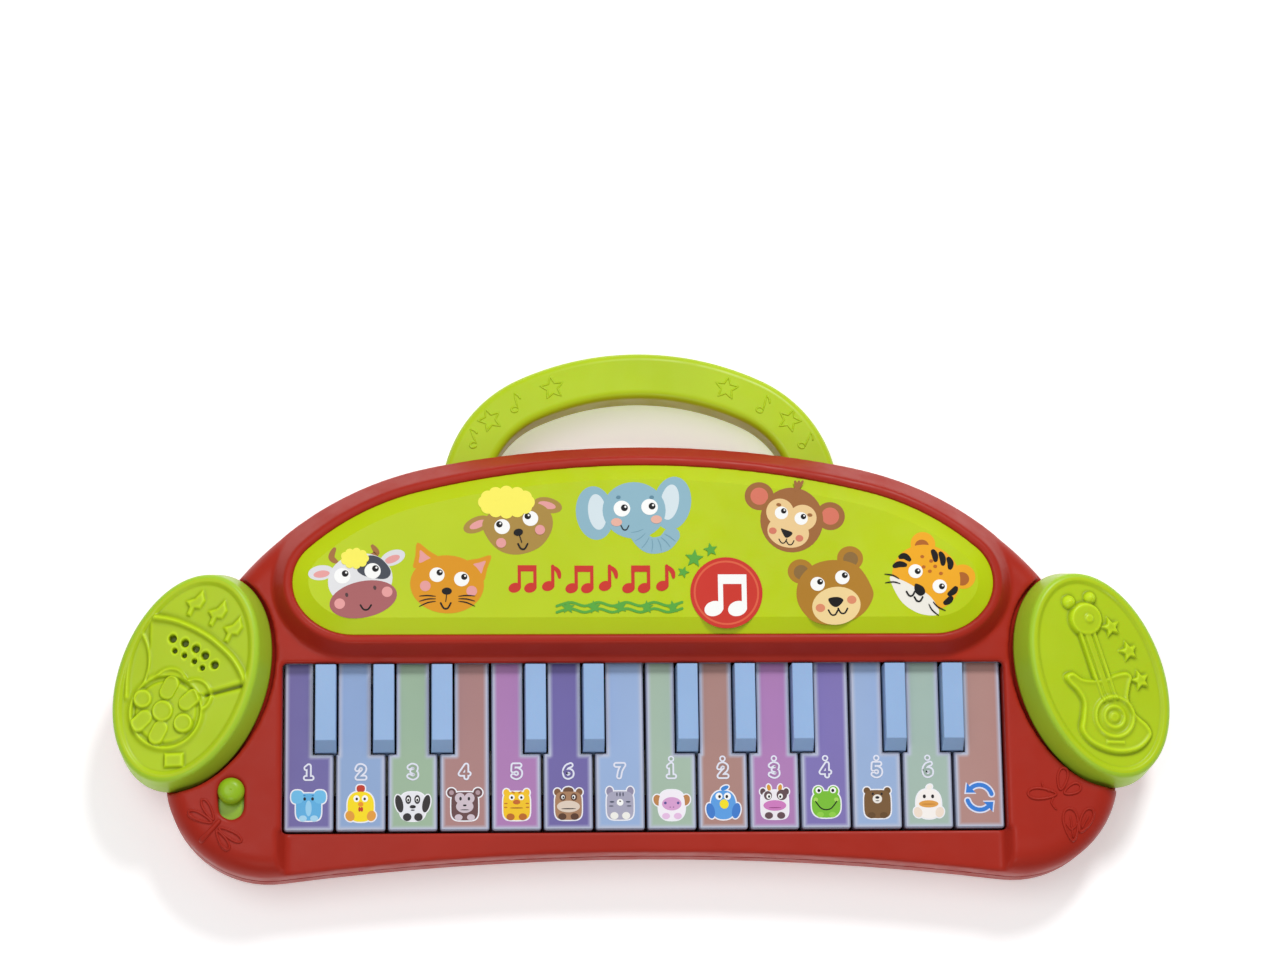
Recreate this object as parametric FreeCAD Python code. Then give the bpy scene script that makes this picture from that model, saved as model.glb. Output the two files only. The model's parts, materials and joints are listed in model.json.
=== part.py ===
import FreeCAD, Part
import math
import os

# Toy electronic keyboard. Millimetres, +Z up, X along the row of keys,
# +Y away from the player. The origin is on the table, in the middle of the toy.

V = FreeCAD.Vector
Rotation = FreeCAD.Rotation
Placement = FreeCAD.Placement

# ---- driving dimensions -------------------------------------------------

WALL = 2.2                 # casing wall
FOOT_HEIGHT = 1.6          # feet moulded on the lower casing
FLOOR_TOP = FOOT_HEIGHT + WALL
PARTING_Z = 15.0           # where the two casing halves meet
CHANNEL_Z = 26.0           # flat in front of the keys
CHANNEL_HALF_WIDTH = 128.0
LOBE_Z = 31.5              # left and right ends, and the strip behind the keys
MOUND_Z = 38.0             # rim around the picture panel
TOO_HIGH = 60.0            # above everything
PARTING_GAP = 0.1          # left between screw posts of the two halves

# half outline of the body: from the back, clockwise, each arc is (radius, turn in degrees)
BODY_BACK_Y = 58.6
BODY_BENDS = ((420.0, 9.9), (126.5, 28.9), (111.5, 51.2))
CORNER_RADIUS = 37.0
FRONT_TURN = 7.1


def bend_reach(bends):
    """How far a chain of tangent arcs that starts along X reaches in X."""
    reach = 0.0
    heading = 0.0
    for radius, turn in bends:
        reach += radius * (math.sin(math.radians(heading + turn)) - math.sin(math.radians(heading)))
        heading += turn
    return reach


CORNER_X = bend_reach(BODY_BENDS) - CORNER_RADIUS
FRONT_HOLLOW_RADIUS = CORNER_X / math.sin(math.radians(FRONT_TURN)) - CORNER_RADIUS
BODY_ARCS = BODY_BENDS + ((CORNER_RADIUS, 90.0 + FRONT_TURN), (FRONT_HOLLOW_RADIUS, -FRONT_TURN))

# half outline of the picture panel, the straight front edge closes it
PANEL_BACK_Y = 50.0
PANEL_ARCS = ((338.0, 13.8), (95.0, 27.4), (16.5, 85.5), (23.0, 53.3))
PANEL_FLOOR_Z = 35.8
PANEL_EDGE_Z = 37.0
PANEL_TOP_Z = 39.5
PANEL_BEVEL = 5.7
PANEL_GAP = 0.15
RIM_WIDTH = 3.0
MOUND_SLOPE = 4.5 / 6.5    # run over rise

# round drum and guitar pads, given in their own tilted frame
PAD_X = 164.0
PAD_Y = -27.5
PAD_TOP_Z = 38.0
PAD_TILT = 12.0            # each pad faces a little outward
PAD_LEAN = 19.5            # long axis leans in at the back
PAD_TOP_AXES = (38.5, 25.0)
PAD_SKIRT_AXES = (40.5, 27.0)
PAD_HEIGHT = 12.0
PAD_TRAVEL = 2.5
PAD_SEAT_DEPTH = PAD_HEIGHT + PAD_TRAVEL + 0.7
PAD_GAP = 0.8
PAD_RIM = 3.3
PAD_FACE_DEPTH = 0.6
RELIEF_ROOT = 0.3          # how far the raised figures reach into the pad
DIMPLE_DEPTH = 1.0
POD_AXES = (36.5, 22.5)
POD_X = 162.5
STEM_RADIUS = 4.0
GUIDE_RADIUS = 6.0
GUIDE_END = 20.0
RUNNING_CLEARANCE = 0.08

# keys
KEY_PITCH = 18.5
KEY_GAP = 1.0
WHITE_COUNT = 14
BLACK_AFTER_WHITE = ((1, -3.3), (2, -1.1), (3, 1.2), (5, -2.35), (6, -0.05),
                     (8, -3.3), (9, -1.1), (10, 1.2), (12, -2.35), (13, -0.05))
KEY_FRONT_Y = -81.1
KEY_BACK_Y = -21.5
WHITE_TOP_Z = 26.5
WHITE_PLATE = 2.2
WHITE_SIDE_BOTTOM_Z = 19.0
WHITE_FRONT_BOTTOM_Z = 15.0
KEY_WALL = 1.6
BLACK_TOP_Z = 32.5
BLACK_FRONT_Y = -53.1
BLACK_WIDTH = 8.0
BLACK_TOP_WIDTH = 7.4
BLACK_SIDE_GAP = 0.6
PIVOT_Y = 1.0
PIVOT_Z = 20.0
ROD_RADIUS = 1.5
HUB_RADIUS = 3.5
OPENING_HALF_WIDTH = 129.7
OPENING_FRONT_Y = KEY_FRONT_Y - 0.8
LIP = 2.0
LIP_BOTTOM_Z = 19.0
WHITE_PLUNGER_Y = -44.0
BLACK_PLUNGER_Y = -30.0
DOME_TOP_Z = 15.0
WHITE_PLUNGER_Z = DOME_TOP_Z + 1.95
BLACK_PLUNGER_Z = DOME_TOP_Z + 1.45
BOARD = 1.6                # thickness of every circuit board
KEY_BOARD_Z = 11.0
KEYBED_Z = (8.0, 10.0)

# power switch
SWITCH_X = -147.5
SWITCH_REST_Y = -67.3
SWITCH_TRAVEL = 5.0
SWITCH_SLOT_RADIUS = 4.4
SWITCH_SLOT_Y = (-77.2, -62.8)
KNOB_RADIUS = 4.2
KNOB_TOP_Z = 34.6

# carrying handle, a bar bent in plan
HANDLE_BACK_Y = 95.9
HANDLE_WIDTH = 17.0
HANDLE_ARCS = ((105.8, 25.2), (48.2, 79.0))
HANDLE_Z = (8.5, 23.5)
HANDLE_SPLIT_Z = 16.0
HANDLE_ROUND = 3.0
HANDLE_BOSS_TURN = 62.0

# batteries, three AA cells lying along X
CELL_RADIUS = 7.25
CELL_LENGTH = 50.5
CELL_ROWS_Y = (16.9, 31.7, 46.5)
BOX_X = 28.5
BOX_Y = (9.3, 54.1)
BOX_CEILING_Z = 18.6
BOX_WALL = 1.6

SPEAKER = (100.0, 22.0)
SPEAKER_RADIUS = 15.0
MAIN_BOARD_X = (-112.0, -80.0)
MAIN_BOARD_Y = (10.0, 34.0)
MAIN_BOARD_Z = 9.0

SCREW_RADIUS = 1.3
SCREW_HEAD_RADIUS = 2.8
POST_RADIUS = 3.5
SIDE_SCREWS = ((137.0, -84.0), (118.0, 9.6), (40.0, 48.0))

# fixings and boards shared by several pieces
PEG_RADIUS = 1.5
PANEL_PEGS = ((-95.0, 8.0), (95.0, 8.0), (-45.0, 36.0), (45.0, 30.0))
SWITCH_BODY_Z = (12.5, 19.5)
SWITCH_LOW_PLATE_Z = (20.6, 21.9)
SWITCH_HIGH_PLATE_Z = (27.4, 28.7)
SWITCH_SCREWS_Y = (-80.6, -59.0)
SCREW_HEAD_Z = (3.6, 5.8)
SCREW_TIP_Z = 24.0
FEET = ((-128.0, -70.0), (128.0, -70.0), (-70.0, 24.0), (70.0, 24.0))
FOOT_RADIUS = 7.0
KEYBED_SCREWS = ((-122.0, -10.0), (-40.0, -10.0), (40.0, -10.0), (122.0, -10.0),
                 (-122.0, -58.0), (-40.0, -58.0), (40.0, -58.0), (122.0, -58.0))
MAIN_BOARD_SCREWS = ((-109.0, 31.0), (-83.0, 13.0))
PAD_BOARD_T = (-30.0, -28.4)
PAD_BOARD_SCREWS = (-8.0, 8.0)
DOOR_X = 30.4
DOOR_Y = (1.6, 55.0)
DOOR_TOP_Z = FOOT_HEIGHT + 1.6
DOOR_GAP = 0.25
DOOR_SCREW_Y = 5.2
DOOR_POST_TOP_Z = 7.6
POST_X = (-132.4, -55.5, 0.0, 74.0, 132.4)
POST_HALF = 1.2
POST_X_END = POST_X[-1]
KEYBED_HALF = 133.6
KEYBED_Y = (-66.0, 5.0)
KEY_BOARD_SCREWS = ((-125.0, -37.0), (-37.5, -37.0), (37.5, -37.0), (125.0, -37.0))
CELL_Z = FLOOR_TOP + CELL_RADIUS
DOOR_HEAD_Z = FOOT_HEIGHT + 0.9

os.makedirs("parts", exist_ok=True)


# ---- small helpers ------------------------------------------------------

def box(x0, x1, y0, y1, z0, z1):
    return Part.makeBox(x1 - x0, y1 - y0, z1 - z0, V(x0, y0, z0))


def post(x, y, z0, z1, radius):
    return Part.makeCylinder(radius, z1 - z0, V(x, y, z0))


def rod_x(x0, x1, y, z, radius):
    return Part.makeCylinder(radius, x1 - x0, V(x0, y, z), V(1, 0, 0))


def mirrored(shape):
    return shape.mirror(V(0, 0, 0), V(1, 0, 0))


def both_sides(shape):
    return [shape, mirrored(shape)]


def join(shapes):
    return shapes[0].multiFuse(shapes[1:]).removeSplitter()


def export(name, shapes):
    parts = shapes if isinstance(shapes, list) else [shapes]
    solids = [solid for part in parts for solid in part.Solids]
    whole = solids[0] if len(solids) == 1 else Part.makeCompound(solids)
    whole.exportStep(os.path.join("parts", name + ".step"))


def arc_chain(start, heading, arcs, offset=0.0):
    """Tangent arcs as (radius, turn); the offset moves the whole chain outward."""
    h = math.radians(heading)
    x = start[0] - offset * math.sin(h)
    y = start[1] + offset * math.cos(h)
    edges = []
    for radius, turn in arcs:
        side = math.copysign(1.0, turn)
        r = radius + side * offset
        cx = x + side * r * math.sin(h)
        cy = y - side * r * math.cos(h)
        points = []
        for share in (0.0, 0.5, 1.0):
            a = h - math.radians(turn) * share
            points.append(V(cx - side * r * math.sin(a), cy + side * r * math.cos(a), 0))
        edges.append(Part.Arc(*points).toShape())
        x, y = points[2].x, points[2].y
        h -= math.radians(turn)
    return edges, V(x, y, 0)


def closed_outline(edges, z):
    """Both halves of a symmetric outline as one closed wire at height z."""
    halves = edges + [mirrored(edge) for edge in edges]
    wire = Part.Wire(Part.__sortEdges__(halves))
    wire.translate(V(0, 0, z))
    return wire


def body_outline(offset, z=0.0):
    edges, _ = arc_chain((0.0, BODY_BACK_Y), 0.0, BODY_ARCS, offset)
    return closed_outline(edges, z)


def panel_outline(offset, z=0.0):
    edges, end = arc_chain((0.0, PANEL_BACK_Y), 0.0, PANEL_ARCS, offset)
    edges.append(Part.LineSegment(end, V(0, end.y, 0)).toShape())
    return closed_outline(edges, z)


def prism(wire, height):
    return Part.Face(wire).extrude(V(0, 0, height))


def round_edges_at(solid, z, radius):
    chosen = [e for e in solid.Edges
              if abs(e.BoundBox.ZMin - z) < 1e-4 and abs(e.BoundBox.ZMax - z) < 1e-4]
    return solid.makeFillet(radius, chosen)


def loft(wires):
    return Part.makeLoft(wires, True, True)


# the pad frame: u along the long axis, v across, t along the pad's own axis, t = 0 on its top

PAD_FRAME = Placement(V(PAD_X, PAD_Y, PAD_TOP_Z), Rotation(V(0, 1, 0), PAD_TILT)).multiply(
    Placement(V(0, 0, 0), Rotation(V(0, 0, 1), 90.0 + PAD_LEAN)))


def in_pad_frame(shape):
    placed = shape.copy()
    placed.Placement = PAD_FRAME.multiply(placed.Placement)
    return placed


def ellipse_wire(axes, t):
    return Part.Wire([Part.Ellipse(V(0, 0, t), axes[0], axes[1]).toShape()])


def grown(axes, amount):
    return (axes[0] + amount, axes[1] + amount)


def pad_drum(axes, t0, t1):
    """An elliptic cylinder in the pad frame."""
    return in_pad_frame(prism(ellipse_wire(axes, t0), t1 - t0))


def pad_post(radius, t0, t1):
    return in_pad_frame(Part.makeCylinder(radius, t1 - t0, V(0, 0, t0)))


def pod(shrink, z0, z1):
    wire = ellipse_wire(grown(POD_AXES, -shrink), 0.0)
    solid = prism(wire, z1 - z0)
    solid.Placement = Placement(V(POD_X, PAD_Y, z0), Rotation(V(0, 0, 1), 90.0 + PAD_LEAN))
    return solid


def handle_outline(outset, z):
    """Closed bar between the outer and the inner arcs of the handle."""
    outer, outer_end = arc_chain((0.0, HANDLE_BACK_Y), 0.0, HANDLE_ARCS, outset)
    inner, inner_end = arc_chain((0.0, HANDLE_BACK_Y), 0.0, HANDLE_ARCS, -HANDLE_WIDTH - outset)
    cap = Part.LineSegment(outer_end, inner_end).toShape()
    return closed_outline(outer + inner + [cap], z)


def handle_boss_point():
    first = HANDLE_ARCS[0]
    second = (HANDLE_ARCS[1][0], HANDLE_BOSS_TURN)
    _, end = arc_chain((0.0, HANDLE_BACK_Y), 0.0, (first, second), -0.5 * HANDLE_WIDTH)
    return end


BOSS = handle_boss_point()
SCREW_SPOTS = [(side * x, y) for x, y in SIDE_SCREWS + ((BOSS.x, BOSS.y),) for side in (1, -1)]


# ---- upper casing -------------------------------------------------------

def casing_block(inset, top_drop, rounding):
    """The raised outside form, or with an inset the cavity inside it."""
    z0 = PARTING_Z - inset
    low = prism(body_outline(-inset, z0), CHANNEL_Z - top_drop - z0)
    low = round_edges_at(low, CHANNEL_Z - top_drop, rounding - 2.5)
    high = prism(body_outline(-inset, z0), LOBE_Z - top_drop - z0)
    high = round_edges_at(high, LOBE_Z - top_drop, rounding)
    half = CHANNEL_HALF_WIDTH + inset
    run = 3.6
    rise = LOBE_Z - CHANNEL_Z
    floor = CHANNEL_Z - top_drop
    corners = [V(half, -120, floor), V(half + run, -120, floor + rise),
               V(half + run, -120, TOO_HIGH), V(-half - run, -120, TOO_HIGH),
               V(-half - run, -120, floor + rise), V(-half, -120, floor)]
    channel = Part.Face(Part.makePolygon(corners + corners[:1]))
    channel = channel.extrude(V(0, 120 + OPENING_FRONT_Y + 0.7 + inset, 0))
    return join([low, high.cut(channel)])


def mound_block(inset, top_z):
    """Raised D shaped deck that carries the picture panel."""
    foot_z = CHANNEL_Z
    sideways = inset * math.sqrt(1.0 + MOUND_SLOPE ** 2)
    foot = RIM_WIDTH + MOUND_SLOPE * (MOUND_Z - foot_z) - sideways
    top = RIM_WIDTH + MOUND_SLOPE * (MOUND_Z - top_z) - sideways
    raised = loft([panel_outline(foot, foot_z), panel_outline(top, top_z)])
    return raised.common(prism(body_outline(-inset, 0.0), TOO_HIGH))


def build_upper_casing():
    seat = -PAD_SEAT_DEPTH
    skirt = grown(PAD_SKIRT_AXES, PAD_GAP)
    far = 40.0
    pods = both_sides(pod(0.0, PARTING_Z, LOBE_Z))
    deck = round_edges_at(mound_block(0.0, MOUND_Z), MOUND_Z, 1.2)
    outer = join([casing_block(0.0, 0.0, 8.0), deck] + pods)
    for hollow in both_sides(pad_drum(skirt, seat, far)):
        outer = outer.cut(hollow)
    inner = join([casing_block(WALL, WALL, 6.0), mound_block(WALL, PANEL_FLOOR_Z - WALL)]
                 + both_sides(pod(WALL, PARTING_Z - WALL, LOBE_Z)))
    for skin in both_sides(pad_drum(grown(skirt, WALL), seat - WALL, far)):
        inner = inner.cut(skin)
    shell = outer.cut(inner)

    # lips around the key opening, and posts for the screws
    extra = [box(-OPENING_HALF_WIDTH - LIP, OPENING_HALF_WIDTH + LIP, OPENING_FRONT_Y - LIP,
                 OPENING_FRONT_Y, LIP_BOTTOM_Z, TOO_HIGH)]
    extra += both_sides(box(OPENING_HALF_WIDTH, OPENING_HALF_WIDTH + LIP, OPENING_FRONT_Y,
                            KEY_BACK_Y, LIP_BOTTOM_Z, TOO_HIGH))
    for x, y in SCREW_SPOTS:
        extra.append(post(x, y, PARTING_Z + PARTING_GAP, TOO_HIGH, POST_RADIUS))
    kept = [piece.common(outer) for piece in extra]
    shell = join([shell] + kept)

    # round guides for the two pads, with a low fence inside each pad skirt
    for side in (0, 1):
        fence = pad_drum(grown(PAD_SKIRT_AXES, -4.6), seat - 0.5, seat + 4.5)
        fence = fence.cut(pad_drum(grown(PAD_SKIRT_AXES, -6.2), seat - 1.0, seat + 5.0))
        guide = pad_post(GUIDE_RADIUS, -GUIDE_END, seat + 4.0)
        bore = pad_post(STEM_RADIUS + RUNNING_CLEARANCE, -GUIDE_END - 1.0, seat + 5.0)
        pieces = [fence, guide, bore]
        if side:
            pieces = [mirrored(piece) for piece in pieces]
        shell = join([shell] + pieces[:2]).cut(pieces[2])

    shell = shell.cut(box(-OPENING_HALF_WIDTH, OPENING_HALF_WIDTH, OPENING_FRONT_Y,
                          KEY_BACK_Y, 0.0, TOO_HIGH))
    shell = shell.cut(prism(panel_outline(PANEL_GAP, PANEL_FLOOR_Z), TOO_HIGH))
    for x, y in PANEL_PEGS:
        shell = shell.cut(post(x, y, 0.0, TOO_HIGH, PEG_RADIUS + 0.1))
    slot = [post(SWITCH_X, SWITCH_SLOT_Y[0] + SWITCH_SLOT_RADIUS, 20.0, TOO_HIGH,
                 SWITCH_SLOT_RADIUS),
            post(SWITCH_X, SWITCH_SLOT_Y[1] - SWITCH_SLOT_RADIUS, 20.0, TOO_HIGH,
                 SWITCH_SLOT_RADIUS),
            box(SWITCH_X - SWITCH_SLOT_RADIUS, SWITCH_X + SWITCH_SLOT_RADIUS,
                SWITCH_SLOT_Y[0] + SWITCH_SLOT_RADIUS, SWITCH_SLOT_Y[1] - SWITCH_SLOT_RADIUS,
                20.0, TOO_HIGH)]
    shell = shell.cut(join(slot))
    for x, y in SCREW_SPOTS:
        shell = shell.cut(post(x, y, PARTING_Z, SCREW_TIP_Z, SCREW_RADIUS))
    shell = shell.cut(handle_passage())
    return shell


def handle_passage():
    """Room for the handle bar through the back wall of both halves."""
    gap = 0.3
    return prism(handle_outline(gap, HANDLE_Z[0] - gap), HANDLE_Z[1] - HANDLE_Z[0] + 2 * gap).cut(
        join([post(BOSS.x, BOSS.y, 0.0, TOO_HIGH, POST_RADIUS + 0.05),
              post(-BOSS.x, BOSS.y, 0.0, TOO_HIGH, POST_RADIUS + 0.05)]))


# ---- lower casing -------------------------------------------------------

def build_lower_casing():
    body = prism(body_outline(0.0, FOOT_HEIGHT), PARTING_Z - FOOT_HEIGHT)
    body = round_edges_at(body, FOOT_HEIGHT, 5.0)
    pod_floor = FOOT_HEIGHT + 1.4
    pods = round_edges_at(pod(0.0, pod_floor, PARTING_Z), pod_floor, 5.0)
    outer = join([body] + both_sides(pods))
    cavity = prism(body_outline(-WALL, FLOOR_TOP), PARTING_Z - FLOOR_TOP + 1.0)
    cavity = round_edges_at(cavity, FLOOR_TOP, 3.0)
    pod_inside = round_edges_at(pod(WALL, pod_floor + WALL, PARTING_Z + 1.0),
                                pod_floor + WALL, 3.0)
    shell = outer.cut(join([cavity] + both_sides(pod_inside)))

    extra = []
    for x, y in FEET:
        extra.append(post(x, y, 0.0, FOOT_HEIGHT + 0.5, FOOT_RADIUS))
    for x, y in SCREW_SPOTS:
        extra.append(post(x, y, FOOT_HEIGHT + 1.0, PARTING_Z, POST_RADIUS + 0.6).common(outer))
    # battery box walls and roof, open at the bottom
    outside = box(-BOX_X - BOX_WALL, BOX_X + BOX_WALL, BOX_Y[0] - BOX_WALL, BOX_Y[1] + 3.0,
                  FLOOR_TOP - 0.5, BOX_CEILING_Z + BOX_WALL)
    roof_room = prism(body_outline(-WALL - 0.3, PARTING_Z), TOO_HIGH)
    below = outside.common(box(-100, 100, 0, 100, 0.0, PARTING_Z))
    outside = join([below, outside.common(roof_room)])
    extra.append(outside.cut(box(-BOX_X, BOX_X, BOX_Y[0], BOX_Y[1], 0.0, BOX_CEILING_Z)))
    extra.append(post(0.0, DOOR_SCREW_Y, DOOR_TOP_Z, DOOR_POST_TOP_Z, 3.0))
    # keybed posts, main board posts, speaker ring
    for x, y in KEYBED_SCREWS:
        extra.append(post(x, y, FLOOR_TOP - 0.5, KEYBED_Z[0], 3.0))
    for x, y in MAIN_BOARD_SCREWS:
        extra.append(post(x, y, FLOOR_TOP - 0.5, MAIN_BOARD_Z, 2.4))
    for y in SWITCH_SCREWS_Y:
        extra.append(post(SWITCH_X, y, FLOOR_TOP - 0.5, SWITCH_BODY_Z[0], 2.4))
    ring = post(SPEAKER[0], SPEAKER[1], FLOOR_TOP - 0.5, FLOOR_TOP + 6.0, SPEAKER_RADIUS + 1.8)
    ring = ring.cut(post(SPEAKER[0], SPEAKER[1], 0.0, 20.0, SPEAKER_RADIUS + 0.2))
    ledge = post(SPEAKER[0], SPEAKER[1], FLOOR_TOP - 0.5, FLOOR_TOP + 1.2, SPEAKER_RADIUS + 0.4)
    ledge = ledge.cut(post(SPEAKER[0], SPEAKER[1], 0.0, 20.0, SPEAKER_RADIUS - 2.0))
    extra += [ring, ledge]
    # sloping blocks below the contact board of each pad
    block = in_pad_frame(box(-10.0, 10.0, -7.0, 7.0, -60.0, PAD_BOARD_T[0]))
    block = block.common(box(100.0, 200.0, -60.0, 20.0, FLOOR_TOP - 0.5, PARTING_Z))
    extra += both_sides(block)
    shell = join([shell] + extra)

    # openings
    shell = shell.cut(box(-DOOR_X, DOOR_X, DOOR_Y[0], DOOR_Y[1], 0.0, DOOR_TOP_Z))
    shell = shell.cut(box(-BOX_X, BOX_X, BOX_Y[0], BOX_Y[1], DOOR_TOP_Z - 0.5, BOX_CEILING_Z))
    shell = shell.cut(post(0.0, DOOR_SCREW_Y, 0.0, DOOR_POST_TOP_Z - 0.6, SCREW_RADIUS))
    for row in range(-4, 5):
        reach = math.sqrt(12.5 ** 2 - (row * 2.8) ** 2)
        y = SPEAKER[1] + row * 2.8
        shell = shell.cut(box(SPEAKER[0] - reach, SPEAKER[0] + reach, y - 0.7, y + 0.7,
                              0.0, FLOOR_TOP + 0.5))
    for x, y in SCREW_SPOTS:
        shell = shell.cut(post(x, y, 0.0, SCREW_HEAD_Z[1], SCREW_HEAD_RADIUS + 0.4))
        shell = shell.cut(post(x, y, 0.0, TOO_HIGH, SCREW_RADIUS + 0.3))
    for x, y in KEYBED_SCREWS + MAIN_BOARD_SCREWS:
        shell = shell.cut(post(x, y, FLOOR_TOP + 0.4, 12.0, 0.9))
    for y in SWITCH_SCREWS_Y:
        shell = shell.cut(post(SWITCH_X, y, FLOOR_TOP + 0.4, 20.0, 0.9))
    for u in PAD_BOARD_SCREWS:
        for hole in both_sides(pad_board_hole(u)):
            shell = shell.cut(hole)
    return shell.cut(handle_passage())


def pad_board_hole(u):
    return in_pad_frame(Part.makeCylinder(0.9, 4.5, V(u, 0, PAD_BOARD_T[0] - 4.0)))


def build_battery_door():
    gap = DOOR_GAP
    plate = box(-DOOR_X + gap, DOOR_X - gap, DOOR_Y[0] + gap, DOOR_Y[1] - gap,
                FOOT_HEIGHT, DOOR_TOP_Z)
    cell_bottom = CELL_Z - CELL_RADIUS
    ribs = []
    for y in CELL_ROWS_Y:
        for x in (-18.0, 18.0):
            ribs.append(box(x - 1.0, x + 1.0, y - 3.0, y + 3.0, DOOR_TOP_Z, cell_bottom))
    door = join([plate] + ribs)
    grip = box(-9.0, 9.0, DOOR_Y[1] - 6.0, DOOR_Y[1] - 4.4, FOOT_HEIGHT, FOOT_HEIGHT + 0.7)
    for step in range(3):
        door = door.cut(grip.translated(V(0, -3.2 * step, 0)))
    underside = prism(body_outline(0.0, FOOT_HEIGHT), PARTING_Z - FOOT_HEIGHT)
    door = door.common(round_edges_at(underside, FOOT_HEIGHT, 5.0))
    door = door.cut(post(0.0, DOOR_SCREW_Y, 0.0, 10.0, SCREW_RADIUS + 0.2))
    return door.cut(post(0.0, DOOR_SCREW_Y, 0.0, DOOR_HEAD_Z, SCREW_HEAD_RADIUS + 0.2))


def screw(x, y, head_z, tip_z, radius, head_radius):
    """Round head below, shank upward, a cross cut in the head."""
    head = post(x, y, head_z[0], head_z[1], head_radius)
    for across in ((1.0, 0.3), (0.3, 1.0)):
        reach = 0.6 * head_radius
        head = head.cut(box(x - reach * across[0], x + reach * across[0],
                            y - reach * across[1], y + reach * across[1],
                            head_z[0] - 0.1, head_z[0] + 0.5 * (head_z[1] - head_z[0])))
    return head.fuse(post(x, y, head_z[1], tip_z, radius)).removeSplitter()


# ---- picture panel ------------------------------------------------------

def build_picture_panel():
    edge = prism(panel_outline(0.0, PANEL_FLOOR_Z), PANEL_EDGE_Z - PANEL_FLOOR_Z)
    raised = loft([panel_outline(0.0, PANEL_EDGE_Z), panel_outline(-PANEL_BEVEL, PANEL_TOP_Z)])
    pegs = [post(x, y, PANEL_FLOOR_Z - WALL - 1.5, PANEL_EDGE_Z, PEG_RADIUS)
            for x, y in PANEL_PEGS]
    return join([edge, raised] + pegs)


# ---- handle -------------------------------------------------------------

def build_handle():
    """Two hollow shells that meet at mid height."""
    bar = prism(handle_outline(0.0, HANDLE_Z[0]), HANDLE_Z[1] - HANDLE_Z[0])
    for z in HANDLE_Z:
        bar = round_edges_at(bar, z, HANDLE_ROUND)
    hollow = prism(handle_outline(-WALL, HANDLE_Z[0] + WALL), HANDLE_Z[1] - HANDLE_Z[0] - 2 * WALL)
    shell = bar.cut(hollow)
    for side in (1, -1):
        tube = post(side * BOSS.x, BOSS.y, HANDLE_Z[0] + 0.5, HANDLE_Z[1] - 0.5,
                    POST_RADIUS + 2.2)
        shell = shell.fuse(tube).removeSplitter()
    for side in (1, -1):
        shell = shell.cut(post(side * BOSS.x, BOSS.y, 0.0, TOO_HIGH, POST_RADIUS + 0.8))
    front = shell.common(box(-100, 100, 0, 120, HANDLE_SPLIT_Z, TOO_HIGH))
    rear = shell.common(box(-100, 100, 0, 120, 0.0, HANDLE_SPLIT_Z))
    return front, rear


# ---- pads ---------------------------------------------------------------

def pad_cap():
    cap = loft([ellipse_wire(PAD_SKIRT_AXES, -PAD_HEIGHT), ellipse_wire(PAD_TOP_AXES, 0.0)])
    cap = round_edges_at(cap, 0.0, 2.2)
    hollow = loft([ellipse_wire(grown(PAD_SKIRT_AXES, -WALL), -PAD_HEIGHT - 0.1),
                   ellipse_wire(grown(PAD_TOP_AXES, -WALL - 0.4), -WALL - PAD_FACE_DEPTH)])
    cap = cap.cut(hollow)
    face = prism(ellipse_wire(grown(PAD_TOP_AXES, -PAD_RIM), -PAD_FACE_DEPTH), 2.0)
    cap = cap.cut(face)
    stem = Part.makeCylinder(STEM_RADIUS, GUIDE_END - WALL + 0.05, V(0, 0, -GUIDE_END - 0.05))
    cap = join([cap, stem])
    return cap.cut(Part.makeCylinder(SCREW_RADIUS, 7.0, V(0, 0, -GUIDE_END - 0.1)))


def face_point(x, y):
    """Point on a pad face, from X and Y square to the toy with the tilt taken out."""
    turn = math.radians(90.0 + PAD_LEAN)
    return V(x * math.cos(turn) + y * math.sin(turn), y * math.cos(turn) - x * math.sin(turn), 0)


def on_face(shape):
    """Move a shape that starts at height zero to just under the pad face."""
    shape.translate(V(0, 0, -PAD_FACE_DEPTH - RELIEF_ROOT))
    return shape


def raised_disc(x, y, radius, height):
    return on_face(Part.makeCylinder(radius, height + RELIEF_ROOT, face_point(x, y)))


def raised_ring(x, y, radius, width, height):
    return raised_disc(x, y, radius, height).cut(raised_disc(x, y, radius - width, 1.0))


def raised_bar(start, end, width, height):
    p = face_point(*start)
    q = face_point(*end)
    bar = Part.makeBox((q - p).Length, width, height + RELIEF_ROOT, V(0, -0.5 * width, 0))
    angle = math.degrees(math.atan2(q.y - p.y, q.x - p.x))
    bar.Placement = Placement(p, Rotation(V(0, 0, 1), angle))
    return on_face(bar)


def raised_line(points, width, height):
    """Bars end to end with round joints."""
    pieces = [raised_bar(p, q, width, height) for p, q in zip(points[:-1], points[1:])]
    pieces += [raised_disc(p[0], p[1], 0.5 * width, height) for p in points]
    return join(pieces)


def raised_plate(points, height, smooth=False):
    corners = [face_point(*p) for p in points]
    if smooth:
        curve = Part.BSplineCurve()
        curve.interpolate(Points=corners, PeriodicFlag=True)
        wire = Part.Wire([curve.toShape()])
    else:
        wire = Part.makePolygon(corners + corners[:1])
    return on_face(Part.Face(wire).extrude(V(0, 0, height + RELIEF_ROOT)))


def turned_over(points):
    """The drum pad is drawn for the left side and modelled on the right before mirroring."""
    return [(-x, y) for x, y in points]


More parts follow.
